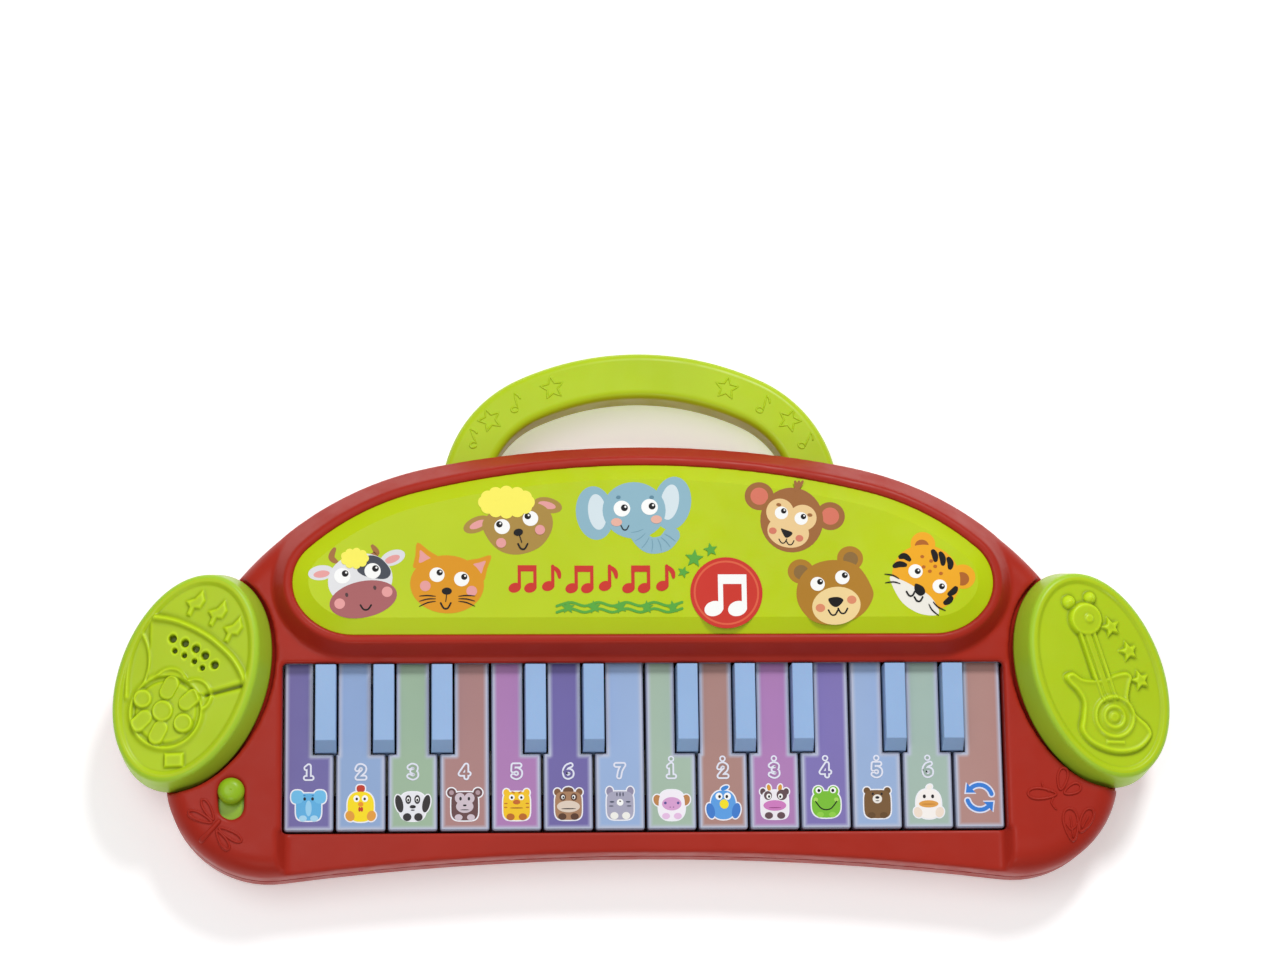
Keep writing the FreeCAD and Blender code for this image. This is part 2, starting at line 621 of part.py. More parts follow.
def drum_relief():
    """A fan of light over a round drum with a flower on its skin."""
    rim = turned_over(((-11.4, 22.4), (2.8, 17.9), (12.8, 11.0), (19.2, 3.8), (21.6, -1.6)))
    fan = turned_over(((-12.6, 20.0), (2.8, 17.9), (12.8, 11.0), (19.2, 3.8), (20.4, -2.6),
                       (7.0, -4.6), (-13.0, -1.0)))
    leaf = turned_over(((-16.0, 17.4), (-13.4, 9.0), (-13.8, 2.0)))
    pieces = [raised_plate(fan, 0.25), raised_line(rim, 1.6, 0.5), raised_line(leaf, 0.8, 0.4)]
    for x, y in turned_over(((3.7, 26.8), (11.8, 22.8), (17.5, 16.7))):
        pieces.append(raised_line(((x + 3.0, y + 1.0), (x - 0.8, y + 3.2), (x - 1.6, y),
                                   (x + 1.6, y - 3.2)), 1.2, 0.45))
    pieces.append(raised_disc(6.9, -12.0, 13.2, 0.3))
    pieces.append(raised_ring(6.9, -12.0, 13.2, 1.1, 0.5))
    for x, y, radius in ((7.9, -11.8, 3.9), (15.2, -7.2, 3.2), (0.4, -16.4, 3.4)):
        pieces.append(raised_disc(x, y, radius, 0.55))
    for start, end in (((6.4, -5.0), (4.9, -2.4)), ((-0.6, -9.2), (-2.4, -7.6)),
                       ((16.4, -16.2), (14.8, -14.4)), ((10.4, -20.8), (9.2, -18.6))):
        pieces.append(raised_line((start, end), 4.6, 0.42))
    pieces.append(raised_bar((0.5, -29.0), (6.9, -29.0), 4.2, 0.4))
    return pieces


def drum_dimples():
    large = ((-4.7, 14.2), (-0.2, 12.4), (3.8, 10.2), (7.2, 7.6), (10.7, 4.1))
    small = ((-3.9, 9.8), (-0.4, 8.0), (3.3, 5.7), (6.2, 3.2))
    holes = [(x, y, 1.2) for x, y in turned_over(large)]
    holes += [(x, y, 0.75) for x, y in turned_over(small)]
    cutters = []
    for x, y, radius in holes:
        floor = face_point(x, y) + V(0, 0, -PAD_FACE_DEPTH - DIMPLE_DEPTH)
        cutters.append(Part.makeCylinder(radius, 3.0, floor))
    return cutters


def guitar_relief():
    """A horned guitar with a round head and two pegs, and three stars beside its neck."""
    body = ((-13.8, -1.0), (-9.6, -6.6), (-8.0, -15.6), (-5.0, -25.2), (7.0, -28.4),
            (17.6, -24.0), (15.0, -15.4), (10.4, -9.0), (11.6, -0.6), (5.6, 0.4), (-6.6, -1.8))
    pieces = [raised_plate(body, 0.3, smooth=True)]
    pieces.append(raised_bar((-5.2, 16.2), (3.2, -9.8), 6.2, 0.42))
    for shift in (-1.5, 1.5):
        pieces.append(raised_bar((-4.9 + shift, 15.4), (3.5 + shift, -9.2), 0.8, 0.52))
    pieces.append(raised_disc(-5.0, 20.0, 6.0, 0.48))
    pieces.append(raised_disc(-4.2, 20.2, 1.5, 0.57))
    pieces.append(raised_disc(-11.1, 26.2, 2.5, 0.5))
    pieces.append(raised_disc(-3.0, 28.0, 2.3, 0.5))
    pieces.append(raised_disc(4.3, -15.4, 7.8, 0.45))
    pieces.append(raised_ring(4.3, -15.4, 7.3, 1.2, 0.57))
    pieces.append(raised_disc(4.3, -15.4, 2.4, 0.57))
    for x, y in ((4.7, 17.5), (11.2, 8.9), (15.3, -1.6)):
        tips = []
        for k in range(10):
            angle = math.radians(108.0 + 36.0 * k)
            reach = 3.7 if k % 2 == 0 else 1.85
            tips.append((x + reach * math.cos(angle), y + reach * math.sin(angle)))
        pieces.append(raised_plate(tips, 0.4))
    return pieces


def build_pad(relief, dimples=()):
    cap = join([pad_cap()] + relief)
    for dimple in dimples:
        cap = cap.cut(dimple)
    return in_pad_frame(cap)


def build_pad_retainer():
    washer = Part.makeCylinder(6.0, 1.2, V(0, 0, -GUIDE_END - 1.25))
    washer = washer.cut(Part.makeCylinder(SCREW_RADIUS, 3.0, V(0, 0, -GUIDE_END - 2.0)))
    head = Part.makeCylinder(SCREW_HEAD_RADIUS, 1.7, V(0, 0, -GUIDE_END - 2.95))
    head = head.cut(Part.makeBox(3.6, 0.8, 0.8, V(-1.8, -0.4, -GUIDE_END - 3.0)))
    shank = Part.makeCylinder(SCREW_RADIUS, 6.5, V(0, 0, -GUIDE_END - 1.25))
    return [in_pad_frame(washer), in_pad_frame(head.fuse(shank).removeSplitter())]


def build_pad_spring():
    top = -WALL - PAD_FACE_DEPTH - 0.02
    bottom = -PAD_SEAT_DEPTH + 0.02
    wire_radius = 0.45
    coil_radius = GUIDE_RADIUS + 1.3
    turns = 5
    steps = 12 * turns
    rise = (top - bottom - 2 * wire_radius) / steps
    points = []
    for k in range(steps + 1):
        a = 2.0 * math.pi * k * turns / steps
        points.append((coil_radius * math.cos(a), coil_radius * math.sin(a),
                       bottom + wire_radius + rise * k))
    spring = wire_along(points, wire_radius)
    return in_pad_frame(spring)


def build_pad_contact():
    """Contact board and the small dome the stem screw lands on."""
    board = box(-12.0, 12.0, -9.0, 9.0, PAD_BOARD_T[0], PAD_BOARD_T[1])
    for u in PAD_BOARD_SCREWS:
        board = board.cut(Part.makeCylinder(1.2, 4.0, V(u, 0, PAD_BOARD_T[0] - 1.0)))
    landing = -GUIDE_END - 2.95 - PAD_TRAVEL - 0.05
    height = landing - PAD_BOARD_T[1]
    dome = Part.makeCone(4.0, 2.6, height, V(0, 0, PAD_BOARD_T[1]))
    return in_pad_frame(board), in_pad_frame(dome)


# ---- keys ---------------------------------------------------------------

def black_x(number):
    after, shift = BLACK_AFTER_WHITE[number]
    return (after - 0.5 * WHITE_COUNT) * KEY_PITCH + shift


def white_key(number):
    centre = (number - 0.5 * (WHITE_COUNT - 1)) * KEY_PITCH
    x0 = centre - 0.5 * (KEY_PITCH - KEY_GAP)
    x1 = centre + 0.5 * (KEY_PITCH - KEY_GAP)
    # the part that is left between the neighbouring black keys
    half_notch = 0.5 * BLACK_WIDTH + BLACK_SIDE_GAP
    notches = [black_x(k) for k in range(len(BLACK_AFTER_WHITE))
               if abs(black_x(k) - centre) < 0.5 * KEY_PITCH + half_notch]
    free0 = max([x0] + [x + half_notch for x in notches if x < centre])
    free1 = min([x1] + [x - half_notch for x in notches if x > centre])
    middle = 0.5 * (free0 + free1)

    block = box(x0, x1, KEY_FRONT_Y, KEY_BACK_Y + 1.0, WHITE_SIDE_BOTTOM_Z, WHITE_TOP_Z)
    nose = box(x0, x1, KEY_FRONT_Y, KEY_FRONT_Y + 4.0, WHITE_FRONT_BOTTOM_Z, WHITE_TOP_Z)
    key = block.fuse(nose).removeSplitter()
    top_edges = [e for e in key.Edges
                 if e.BoundBox.ZMin > WHITE_TOP_Z - 0.01 and e.BoundBox.YMax < KEY_BACK_Y + 0.9
                 or (e.BoundBox.ZMin > WHITE_TOP_Z - 0.01 and e.BoundBox.XLength < 0.01)]
    corner_edges = [e for e in key.Edges
                    if e.BoundBox.YMax < KEY_FRONT_Y + 0.01 and e.BoundBox.ZLength > 5.0]
    key = key.makeFillet(1.0, top_edges + corner_edges)
    key = key.cut(box(x0 + KEY_WALL, x1 - KEY_WALL, KEY_FRONT_Y + KEY_WALL, KEY_BACK_Y + 5.0,
                      0.0, WHITE_TOP_Z - WHITE_PLATE))
    key = key.cut(box(x0 - 1.0, x1 + 1.0, KEY_FRONT_Y + KEY_WALL, KEY_FRONT_Y + 5.0,
                      0.0, WHITE_SIDE_BOTTOM_Z))
    arm = box(x0, x1, KEY_BACK_Y, -6.0, WHITE_TOP_Z - WHITE_PLATE - 0.6, WHITE_TOP_Z - 0.6)
    spine = box(middle - 1.0, middle + 1.0, KEY_FRONT_Y + 1.0, PIVOT_Y, WHITE_SIDE_BOTTOM_Z,
                WHITE_TOP_Z - 1.0)
    plunger = post(middle, WHITE_PLUNGER_Y, WHITE_PLUNGER_Z, WHITE_TOP_Z - 1.0, 2.6)
    key = join([key, arm, spine, plunger])
    for x in notches:
        key = key.cut(box(x - half_notch, x + half_notch, BLACK_FRONT_Y - BLACK_SIDE_GAP, 10.0,
                          0.0, TOO_HIGH))
    hub = rod_x(free0 + 1.5, free1 - 1.5, PIVOT_Y, PIVOT_Z, HUB_RADIUS)
    gusset = box(free0 + 1.5, free1 - 1.5, -6.5, PIVOT_Y, PIVOT_Z + 1.0, WHITE_TOP_Z - 0.6)
    gusset = gusset.cut(box(free0, free1, -4.5, 5.0, PIVOT_Z + HUB_RADIUS, TOO_HIGH))
    key = join([key, hub, gusset])
    return key.cut(rod_x(x0 - 1.0, x1 + 1.0, PIVOT_Y, PIVOT_Z, ROD_RADIUS + 0.06))


def black_key(number):
    x = black_x(number)
    back = KEY_BACK_Y - 0.5
    half = 0.5 * BLACK_WIDTH
    half_top = 0.5 * BLACK_TOP_WIDTH
    bottom = 19.0
    section = [V(x - half, back, bottom), V(x + half, back, bottom),
               V(x + half_top, back, BLACK_TOP_Z), V(x - half_top, back, BLACK_TOP_Z)]
    block = Part.Face(Part.makePolygon(section + section[:1]))
    block = block.extrude(V(0, BLACK_FRONT_Y - back, 0))
    chamfer_length = 3.8
    chamfer_height = 4.5
    wedge = [V(x - 10, BLACK_FRONT_Y - 0.01, BLACK_TOP_Z - chamfer_height),
             V(x - 10, BLACK_FRONT_Y + chamfer_length, BLACK_TOP_Z + 0.01),
             V(x - 10, BLACK_FRONT_Y - 0.01, BLACK_TOP_Z + 0.01)]
    block = block.cut(Part.Face(Part.makePolygon(wedge + wedge[:1])).extrude(V(20, 0, 0)))
    edges = [e for e in block.Edges if e.BoundBox.ZMax > BLACK_TOP_Z - chamfer_height - 0.1
             and e.BoundBox.YMax < back - 0.01 or
             (e.BoundBox.ZMin > BLACK_TOP_Z - 0.01 and e.BoundBox.XLength < 0.3)]
    edges = [e for e in edges if e.BoundBox.ZMin > BLACK_TOP_Z - chamfer_height - 0.1]
    block = block.makeFillet(0.5, edges)
    block = block.cut(box(x - half + KEY_WALL, x + half - KEY_WALL, BLACK_FRONT_Y + 3.4,
                          back - KEY_WALL, 0.0, BLACK_TOP_Z - 5.0))
    arm = box(x - 3.0, x + 3.0, back - 3.0, PIVOT_Y, 21.6, 25.0)
    plunger = post(x, BLACK_PLUNGER_Y, BLACK_PLUNGER_Z, BLACK_TOP_Z - 4.0, 2.2)
    hub = rod_x(x - half, x + half, PIVOT_Y, PIVOT_Z, HUB_RADIUS)
    key = join([block, arm, plunger, hub])
    return key.cut(rod_x(x - 10.0, x + 10.0, PIVOT_Y, PIVOT_Z, ROD_RADIUS + 0.06))


def build_pivot_rod():
    return rod_x(-POST_X_END - POST_HALF, POST_X_END + POST_HALF, PIVOT_Y, PIVOT_Z, ROD_RADIUS)


def build_keybed():
    plate = box(-KEYBED_HALF, KEYBED_HALF, KEYBED_Y[0], KEYBED_Y[1], KEYBED_Z[0], KEYBED_Z[1])
    pieces = [plate]
    for x in POST_X:
        reach = POST_HALF
        pieces.append(box(x - reach, x + reach, PIVOT_Y - 3.5, PIVOT_Y + 3.5,
                          KEYBED_Z[0], PIVOT_Z + 3.0))
    for x, y in KEY_BOARD_SCREWS:
        pieces.append(post(x, y, KEYBED_Z[0], KEY_BOARD_Z, 2.2))
    bed = join(pieces)
    bed = bed.cut(rod_x(-140.0, 140.0, PIVOT_Y, PIVOT_Z, ROD_RADIUS + 0.01))
    for x, y in KEYBED_SCREWS:
        bed = bed.cut(post(x, y, 0.0, 12.0, 1.2))
    for x, y in KEY_BOARD_SCREWS:
        bed = bed.cut(post(x, y, KEYBED_Z[0] - 0.1, 12.0, 0.9))
    # windows that lighten the plate
    for k in range(6):
        x = (k - 2.5) * 40.0
        bed = bed.cut(box(x - 12.0, x + 12.0, -50.0, -16.0, 0.0, KEYBED_Z[1] + 0.5))
    return bed


def board_x_for_white(number):
    """Where the plunger of a white key comes down."""
    centre = (number - 0.5 * (WHITE_COUNT - 1)) * KEY_PITCH
    half_notch = 0.5 * BLACK_WIDTH + BLACK_SIDE_GAP
    near = [black_x(k) for k in range(len(BLACK_AFTER_WHITE))
            if abs(black_x(k) - centre) < 0.5 * KEY_PITCH + half_notch]
    edge = 0.5 * (KEY_PITCH - KEY_GAP)
    free0 = max([centre - edge] + [x + half_notch for x in near if x < centre])
    free1 = min([centre + edge] + [x - half_notch for x in near if x > centre])
    return 0.5 * (free0 + free1)


def build_key_contacts():
    """Contact board, and a rubber sheet with one dome for every key."""
    board = box(-128.0, 128.0, -50.0, -24.0, KEY_BOARD_Z, KEY_BOARD_Z + BOARD)
    for x, y in KEY_BOARD_SCREWS:
        board = board.cut(post(x, y, 0.0, 20.0, 1.2))
    sheet_bottom = KEY_BOARD_Z + BOARD
    sheet = box(-126.5, 126.5, -48.5, -26.0, sheet_bottom, sheet_bottom + 0.8)
    spots = [(board_x_for_white(k), WHITE_PLUNGER_Y) for k in range(WHITE_COUNT)]
    spots += [(black_x(k), BLACK_PLUNGER_Y) for k in range(len(BLACK_AFTER_WHITE))]
    domes = [Part.makeCone(3.8, 2.6, DOME_TOP_Z - sheet_bottom - 0.4, V(x, y, sheet_bottom + 0.4))
             for x, y in spots]
    rubber = join([sheet] + domes)
    for x, y in KEY_BOARD_SCREWS:
        rubber = rubber.cut(post(x, y, 0.0, 20.0, 2.6))
    return board, rubber


# ---- electrics ----------------------------------------------------------

def build_main_board():
    board = box(MAIN_BOARD_X[0], MAIN_BOARD_X[1], MAIN_BOARD_Y[0], MAIN_BOARD_Y[1],
                MAIN_BOARD_Z, MAIN_BOARD_Z + BOARD)
    for x, y in MAIN_BOARD_SCREWS:
        board = board.cut(post(x, y, 0.0, 20.0, 1.2))
    top = MAIN_BOARD_Z + BOARD
    blob = Part.makeSphere(9.0, V(-96.0, 22.0, top - 6.6), V(0, 0, 1), 0, 90, 360)
    blob = blob.common(box(-110, -80, 10, 34, top, top + 5.0))
    tall = post(-88.0, 28.5, top, top + 7.0, 2.5)
    small = [box(-104.0 + 4.0 * k, -101.8 + 4.0 * k, 13.2, 14.4, top, top + 0.7)
             for k in range(4)]
    chip = box(-108.0, -103.0, 18.0, 26.0, top, top + 1.6)
    return board, [blob, tall, chip] + small


def build_speaker():
    x, y = SPEAKER
    bottom = FLOOR_TOP + 1.2
    outer = SPEAKER_RADIUS
    flange = post(x, y, bottom, bottom + 1.0, outer)
    flange = flange.cut(post(x, y, 0.0, 30.0, outer - 2.6))
    frame = Part.makeCone(outer - 1.6, 8.6, 5.6, V(x, y, bottom + 1.0))
    frame = frame.cut(Part.makeCone(outer - 2.6, 7.6, 5.6, V(x, y, bottom + 1.0)))
    cover = post(x, y, bottom + 6.6, bottom + 7.6, 8.6)
    basket = join([flange, frame, cover])
    for k in range(4):
        window = box(x + 8.8, x + 20.0, y - 2.5, y + 2.5, bottom + 2.2, bottom + 5.0)
        basket = basket.cut(window.rotated(V(x, y, 0), V(0, 0, 1), 45.0 + 90.0 * k))
    cone = Part.makeCone(outer - 2.8, 4.0, 4.4, V(x, y, bottom + 0.4))
    cone = cone.cut(Part.makeCone(outer - 3.4, 3.4, 4.4, V(x, y, bottom + 0.2)))
    cap = post(x, y, bottom + 4.4, bottom + 5.0, 4.2)
    cone = join([cone, cap])
    magnet = post(x, y, bottom + 7.6, bottom + 12.6, 7.8)
    return basket, cone, magnet


def build_cells():
    cells = []
    for k, y in enumerate(CELL_ROWS_Y):
        half = 0.5 * CELL_LENGTH
        cell = rod_x(-half + 1.0, half, y, CELL_Z, CELL_RADIUS)
        cell = cell.fuse(rod_x(-half, -half + 1.0, y, CELL_Z, 2.6)).removeSplitter()
        if k % 2:
            cell = cell.rotated(V(0, y, CELL_Z), V(0, 0, 1), 180.0)
        cells.append(cell)
    return cells


def build_cell_contacts():
    contacts = []
    half = 0.5 * CELL_LENGTH
    z0 = CELL_Z - 5.0
    z1 = CELL_Z + 5.0
    y0, y1, y2 = CELL_ROWS_Y
    for side, spans in ((1, ((y0 - 4.5, y1 + 4.5), (y2 - 4.5, y2 + 4.5))),
                        (-1, ((y0 - 4.5, y0 + 4.5), (y1 - 4.5, y2 + 4.5)))):
        for span in spans:
            x0, x1 = sorted((side * (half + 2.6), side * (half + 3.1)))
            plate = box(x0, x1, span[0], span[1], z0, z1)
            a0, a1 = sorted((side * half, side * (half + 2.8)))
            bumps = [rod_x(a0, a1, y, CELL_Z, 2.2) for y in CELL_ROWS_Y if span[0] < y < span[1]]
            contacts.append(join([plate] + bumps))
    return contacts


def build_switch_knob():
    """Grip with a stepped plate that keeps the slot covered at both ends."""
    low = SWITCH_LOW_PLATE_Z[0]
    plates = [box(SWITCH_X - 5.5, SWITCH_X + 5.5, SWITCH_REST_Y - 10.7, SWITCH_REST_Y,
                  SWITCH_HIGH_PLATE_Z[0], SWITCH_HIGH_PLATE_Z[1]),
              box(SWITCH_X - 5.5, SWITCH_X + 5.5, SWITCH_REST_Y - 3.0, SWITCH_REST_Y + 10.0,
                  low, SWITCH_LOW_PLATE_Z[1])]
    for k, y in enumerate((SWITCH_REST_Y - 10.7, SWITCH_REST_Y + 10.0)):
        corners = [e for e in plates[k].Edges
                   if e.BoundBox.ZLength > 1.0 and abs(e.BoundBox.YMin - y) < 0.01]
        plates[k] = plates[k].makeFillet(3.0, corners)
    grip = post(SWITCH_X, SWITCH_REST_Y, low, KNOB_TOP_Z, KNOB_RADIUS)
    grip = round_edges_at(grip, KNOB_TOP_Z, 1.8)
    fork = post(SWITCH_X, SWITCH_REST_Y, SWITCH_BODY_Z[1] - 2.0, low, 1.2)
    return join(plates + [grip, fork])


def build_slide_switch():
    z0, z1 = SWITCH_BODY_Z
    centre = SWITCH_REST_Y - 0.5 * SWITCH_TRAVEL
    case = box(SWITCH_X - 3.5, SWITCH_X + 3.5, centre - 7.0, centre + 7.0, z0, z1)
    case = case.cut(box(SWITCH_X - 1.5, SWITCH_X + 1.5, centre - 4.2, centre + 4.2,
                        z1 - 3.0, z1 + 1.0))
    ears = box(SWITCH_X - 3.0, SWITCH_X + 3.0, SWITCH_SCREWS_Y[0] - 2.6, SWITCH_SCREWS_Y[1] + 2.6,
               z0, z0 + 1.2)
    switch = join([case, ears])
    for y in SWITCH_SCREWS_Y:
        switch = switch.cut(post(SWITCH_X, y, z0 - 1.0, z1, 1.2))
    return switch


# ---- screws and wires ---------------------------------------------------

def build_board_screws():
    screws = []
    small = 0.9
    head = 1.7
    for x, y in KEYBED_SCREWS:
        screws.append(post(x, y, KEYBED_Z[1], KEYBED_Z[1] + 0.9, head).fuse(
            post(x, y, KEYBED_Z[0] - 3.5, KEYBED_Z[1], small)).removeSplitter())
    for x, y in KEY_BOARD_SCREWS:
        top = KEY_BOARD_Z + BOARD
        screws.append(post(x, y, top, top + 0.9, head).fuse(
            post(x, y, KEYBED_Z[0] + 0.2, top, small)).removeSplitter())
    for x, y in MAIN_BOARD_SCREWS:
        top = MAIN_BOARD_Z + BOARD
        screws.append(post(x, y, top, top + 0.9, head).fuse(
            post(x, y, MAIN_BOARD_Z - 3.5, top, small)).removeSplitter())
    for y in SWITCH_SCREWS_Y:
        z = SWITCH_BODY_Z[0] + 1.2
        screws.append(post(SWITCH_X, y, z, z + 0.9, head).fuse(
            post(SWITCH_X, y, z - 5.0, z, small)).removeSplitter())
    for u in PAD_BOARD_SCREWS:
        t = PAD_BOARD_T[1]
        pin = Part.makeCylinder(head, 0.9, V(u, 0, t)).fuse(
            Part.makeCylinder(small, 5.0, V(u, 0, t - 5.0))).removeSplitter()
        screws += both_sides(in_pad_frame(pin))
    return screws


def wire_along(points, radius=0.6):
    path = Part.BSplineCurve()
    path.interpolate([V(*p) for p in points])
    edge = path.toShape()
    start = V(*points[0])
    direction = path.tangent(path.FirstParameter)[0]
    profile = Part.Wire([Part.Circle(start, direction, radius).toShape()])
    return Part.Wire([edge]).makePipeShell([profile], True, True)


def build_wires():
    top = MAIN_BOARD_Z + BOARD + 0.62
    wires = []
    for k in (0, 1):
        # battery box, speaker, power switch, drum pad, guitar pad
        wires.append(wire_along([(-30.9, 20.0 + 9.0 * k, 12.0), (-40.0, 19.5 + 4.0 * k, 12.6),
                                 (-60.0, 17.5 + 2.0 * k, 13.0), (-77.0, 17.0 + 2.0 * k, 13.4),
                                 (-81.5, 17.0 + 2.0 * k, top)]))
        wires.append(wire_along([(90.5, 27.0 - 4.0 * k, 18.3), (60.0, 21.5 - 3.0 * k, 21.5),
                                 (30.0, 20.0 - 3.0 * k, 23.0), (-30.0, 20.0 - 3.0 * k, 23.0),
                                 (-60.0, 21.0 - 2.0 * k, 20.5), (-82.5, 24.5 - 2.0 * k, 14.0),
                                 (-86.0, 24.5 - 2.0 * k, top)]))
        wires.append(wire_along([(-143.3, -71.0 + 3.0 * k, 16.0), (-139.6 - k, -66.0 + 2.0 * k, 13.0),
                                 (-139.0 - 2.0 * k, -50.0, 7.6), (-138.0 - 2.0 * k, -20.0, 6.4),
                                 (-136.0 - 2.0 * k, 2.0, 8.0), (-126.0 - 2.0 * k, 19.0, 12.0),
                                 (-114.0, 22.5 + 1.6 * k, 13.4), (-110.4, 22.5 + 1.6 * k, top)]))
        wires.append(wire_along([(-152.5, -15.6 - 2.6 * k, 14.0), (-147.0, -7.0 - 3.0 * k, 16.5),
                                 (-134.0, 10.0 - 3.0 * k, 18.0), (-118.0, 22.0 - 5.0 * k, 18.0),
                                 (-107.0, 29.0 - 13.2 * k, 15.0),
                                 (-103.0, 29.0 - 13.2 * k, top)]))
        wires.append(wire_along([(147.5, -33.0 - 3.0 * k, 14.3), (142.0, -34.0 - 3.0 * k, 15.6),
                                 (134.0, -34.0 - 2.4 * k, 15.2),
                                 (127.0, -30.0 - 2.4 * k, KEY_BOARD_Z + BOARD + 0.62)]))
    return wires


def build_ribbon():
    """Flat cable from the key contact board back to the main board."""
    thick = 0.6
    low = KEY_BOARD_Z + BOARD
    end = MAIN_BOARD_Z + BOARD
    line = [(-25.8, low), (-22.0, low + 0.6), (7.0, low + 0.6), (12.0, end)]
    upper = [(y, z + thick) for y, z in reversed(line)]
    corners = [V(-100.0, y, z) for y, z in line + upper]
    return Part.Face(Part.makePolygon(corners + corners[:1])).extrude(V(9.0, 0, 0))


# ---- write every piece --------------------------------------------------

export("upper_casing", build_upper_casing())
export("lower_casing", build_lower_casing())
export("picture_panel", build_picture_panel())
front_shell, rear_shell = build_handle()
export("handle_front_shell", front_shell)
export("handle_rear_shell", rear_shell)

guitar = build_pad(guitar_relief())
drum = mirrored(build_pad(drum_relief(), drum_dimples()))
export("guitar_pad", guitar)
export("drum_pad", drum)
retainer = build_pad_retainer()
export("guitar_pad_retainer", retainer)
export("drum_pad_retainer", [mirrored(piece) for piece in retainer])
spring = build_pad_spring()
export("guitar_pad_spring", spring)
export("drum_pad_spring", mirrored(spring))
pad_board, pad_dome = build_pad_contact()
export("pad_contact_boards", both_sides(pad_board))
export("pad_contact_domes", both_sides(pad_dome))

for index in range(WHITE_COUNT):
    export("white_key_%02d" % (index + 1), white_key(index))
for index in range(len(BLACK_AFTER_WHITE)):
    export("black_key_%02d" % (index + 1), black_key(index))
export("key_pivot_rod", build_pivot_rod())
export("keybed_frame", build_keybed())
key_board, key_rubber = build_key_contacts()
export("key_contact_board", key_board)
export("key_contact_rubber", key_rubber)
export("key_board_ribbon", build_ribbon())

main_board, components = build_main_board()
export("main_circuit_board", main_board)
export("board_components", components)
basket, cone, magnet = build_speaker()
export("speaker_basket", basket)
export("speaker_cone", cone)
export("speaker_magnet", magnet)
export("battery_cells", build_cells())
export("battery_contacts", build_cell_contacts())
export("battery_door", build_battery_door())
export("battery_door_screw", screw(0.0, DOOR_SCREW_Y, (FOOT_HEIGHT, DOOR_HEAD_Z),
                                   DOOR_POST_TOP_Z - 0.6, SCREW_RADIUS, SCREW_HEAD_RADIUS))
export("power_switch_knob", build_switch_knob())
export("slide_switch_body", build_slide_switch())
export("casing_screws", [screw(x, y, SCREW_HEAD_Z, SCREW_TIP_Z - 0.5, SCREW_RADIUS,
                               SCREW_HEAD_RADIUS) for x, y in SCREW_SPOTS])
export("board_screws", build_board_screws())
export("wires", build_wires())
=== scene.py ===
import bpy
import json
import math
import numpy as np
from mathutils import Matrix, Vector
from mathutils.bvhtree import BVHTree


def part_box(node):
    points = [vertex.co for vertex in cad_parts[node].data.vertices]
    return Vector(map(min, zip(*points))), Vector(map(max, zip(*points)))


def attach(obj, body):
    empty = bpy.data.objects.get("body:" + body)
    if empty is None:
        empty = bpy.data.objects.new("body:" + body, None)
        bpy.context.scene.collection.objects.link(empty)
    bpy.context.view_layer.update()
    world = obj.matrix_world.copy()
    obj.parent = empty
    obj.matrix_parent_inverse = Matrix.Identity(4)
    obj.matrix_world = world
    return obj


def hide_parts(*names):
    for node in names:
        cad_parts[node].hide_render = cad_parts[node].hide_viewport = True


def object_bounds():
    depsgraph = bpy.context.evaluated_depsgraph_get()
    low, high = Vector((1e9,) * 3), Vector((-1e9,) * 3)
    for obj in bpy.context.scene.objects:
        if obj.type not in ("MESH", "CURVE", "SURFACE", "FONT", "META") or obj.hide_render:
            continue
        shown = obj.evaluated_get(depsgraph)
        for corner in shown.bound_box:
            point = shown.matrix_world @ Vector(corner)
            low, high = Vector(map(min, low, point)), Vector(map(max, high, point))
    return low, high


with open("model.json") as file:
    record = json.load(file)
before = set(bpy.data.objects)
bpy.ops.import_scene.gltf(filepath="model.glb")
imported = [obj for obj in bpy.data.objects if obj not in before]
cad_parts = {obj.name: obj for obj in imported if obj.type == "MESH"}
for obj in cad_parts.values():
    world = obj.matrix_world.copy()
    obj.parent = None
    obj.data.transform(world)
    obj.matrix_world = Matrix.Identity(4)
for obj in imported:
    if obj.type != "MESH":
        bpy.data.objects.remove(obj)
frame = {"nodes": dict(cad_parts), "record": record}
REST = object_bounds()
NODES = frame["nodes"]
JOINTS = {j["name"]: j for j in frame["record"]["behaviour"]["joints"]}
SLOT_OF = {s["node"]: s["material_slot"] for s in frame["record"]["subparts"]}
MATERIALS = {m["slot"]: m for m in frame["record"]["materials"]}

# one design millimetre, in metres, taken from the width of the CAD part
DESIGN_WIDTH = 380.27
MM = (REST[1][0] - REST[0][0]) / DESIGN_WIDTH


# ---- colours and materials ----------------------------------------------

def linear(rgb):
    """An sRGB colour of 0..255 values as linear light."""
    out = []
    for value in rgb:
        c = value / 255.0
        out.append(c / 12.92 if c <= 0.04045 else ((c + 0.055) / 1.055) ** 2.4)
    return tuple(out) + (1.0,)


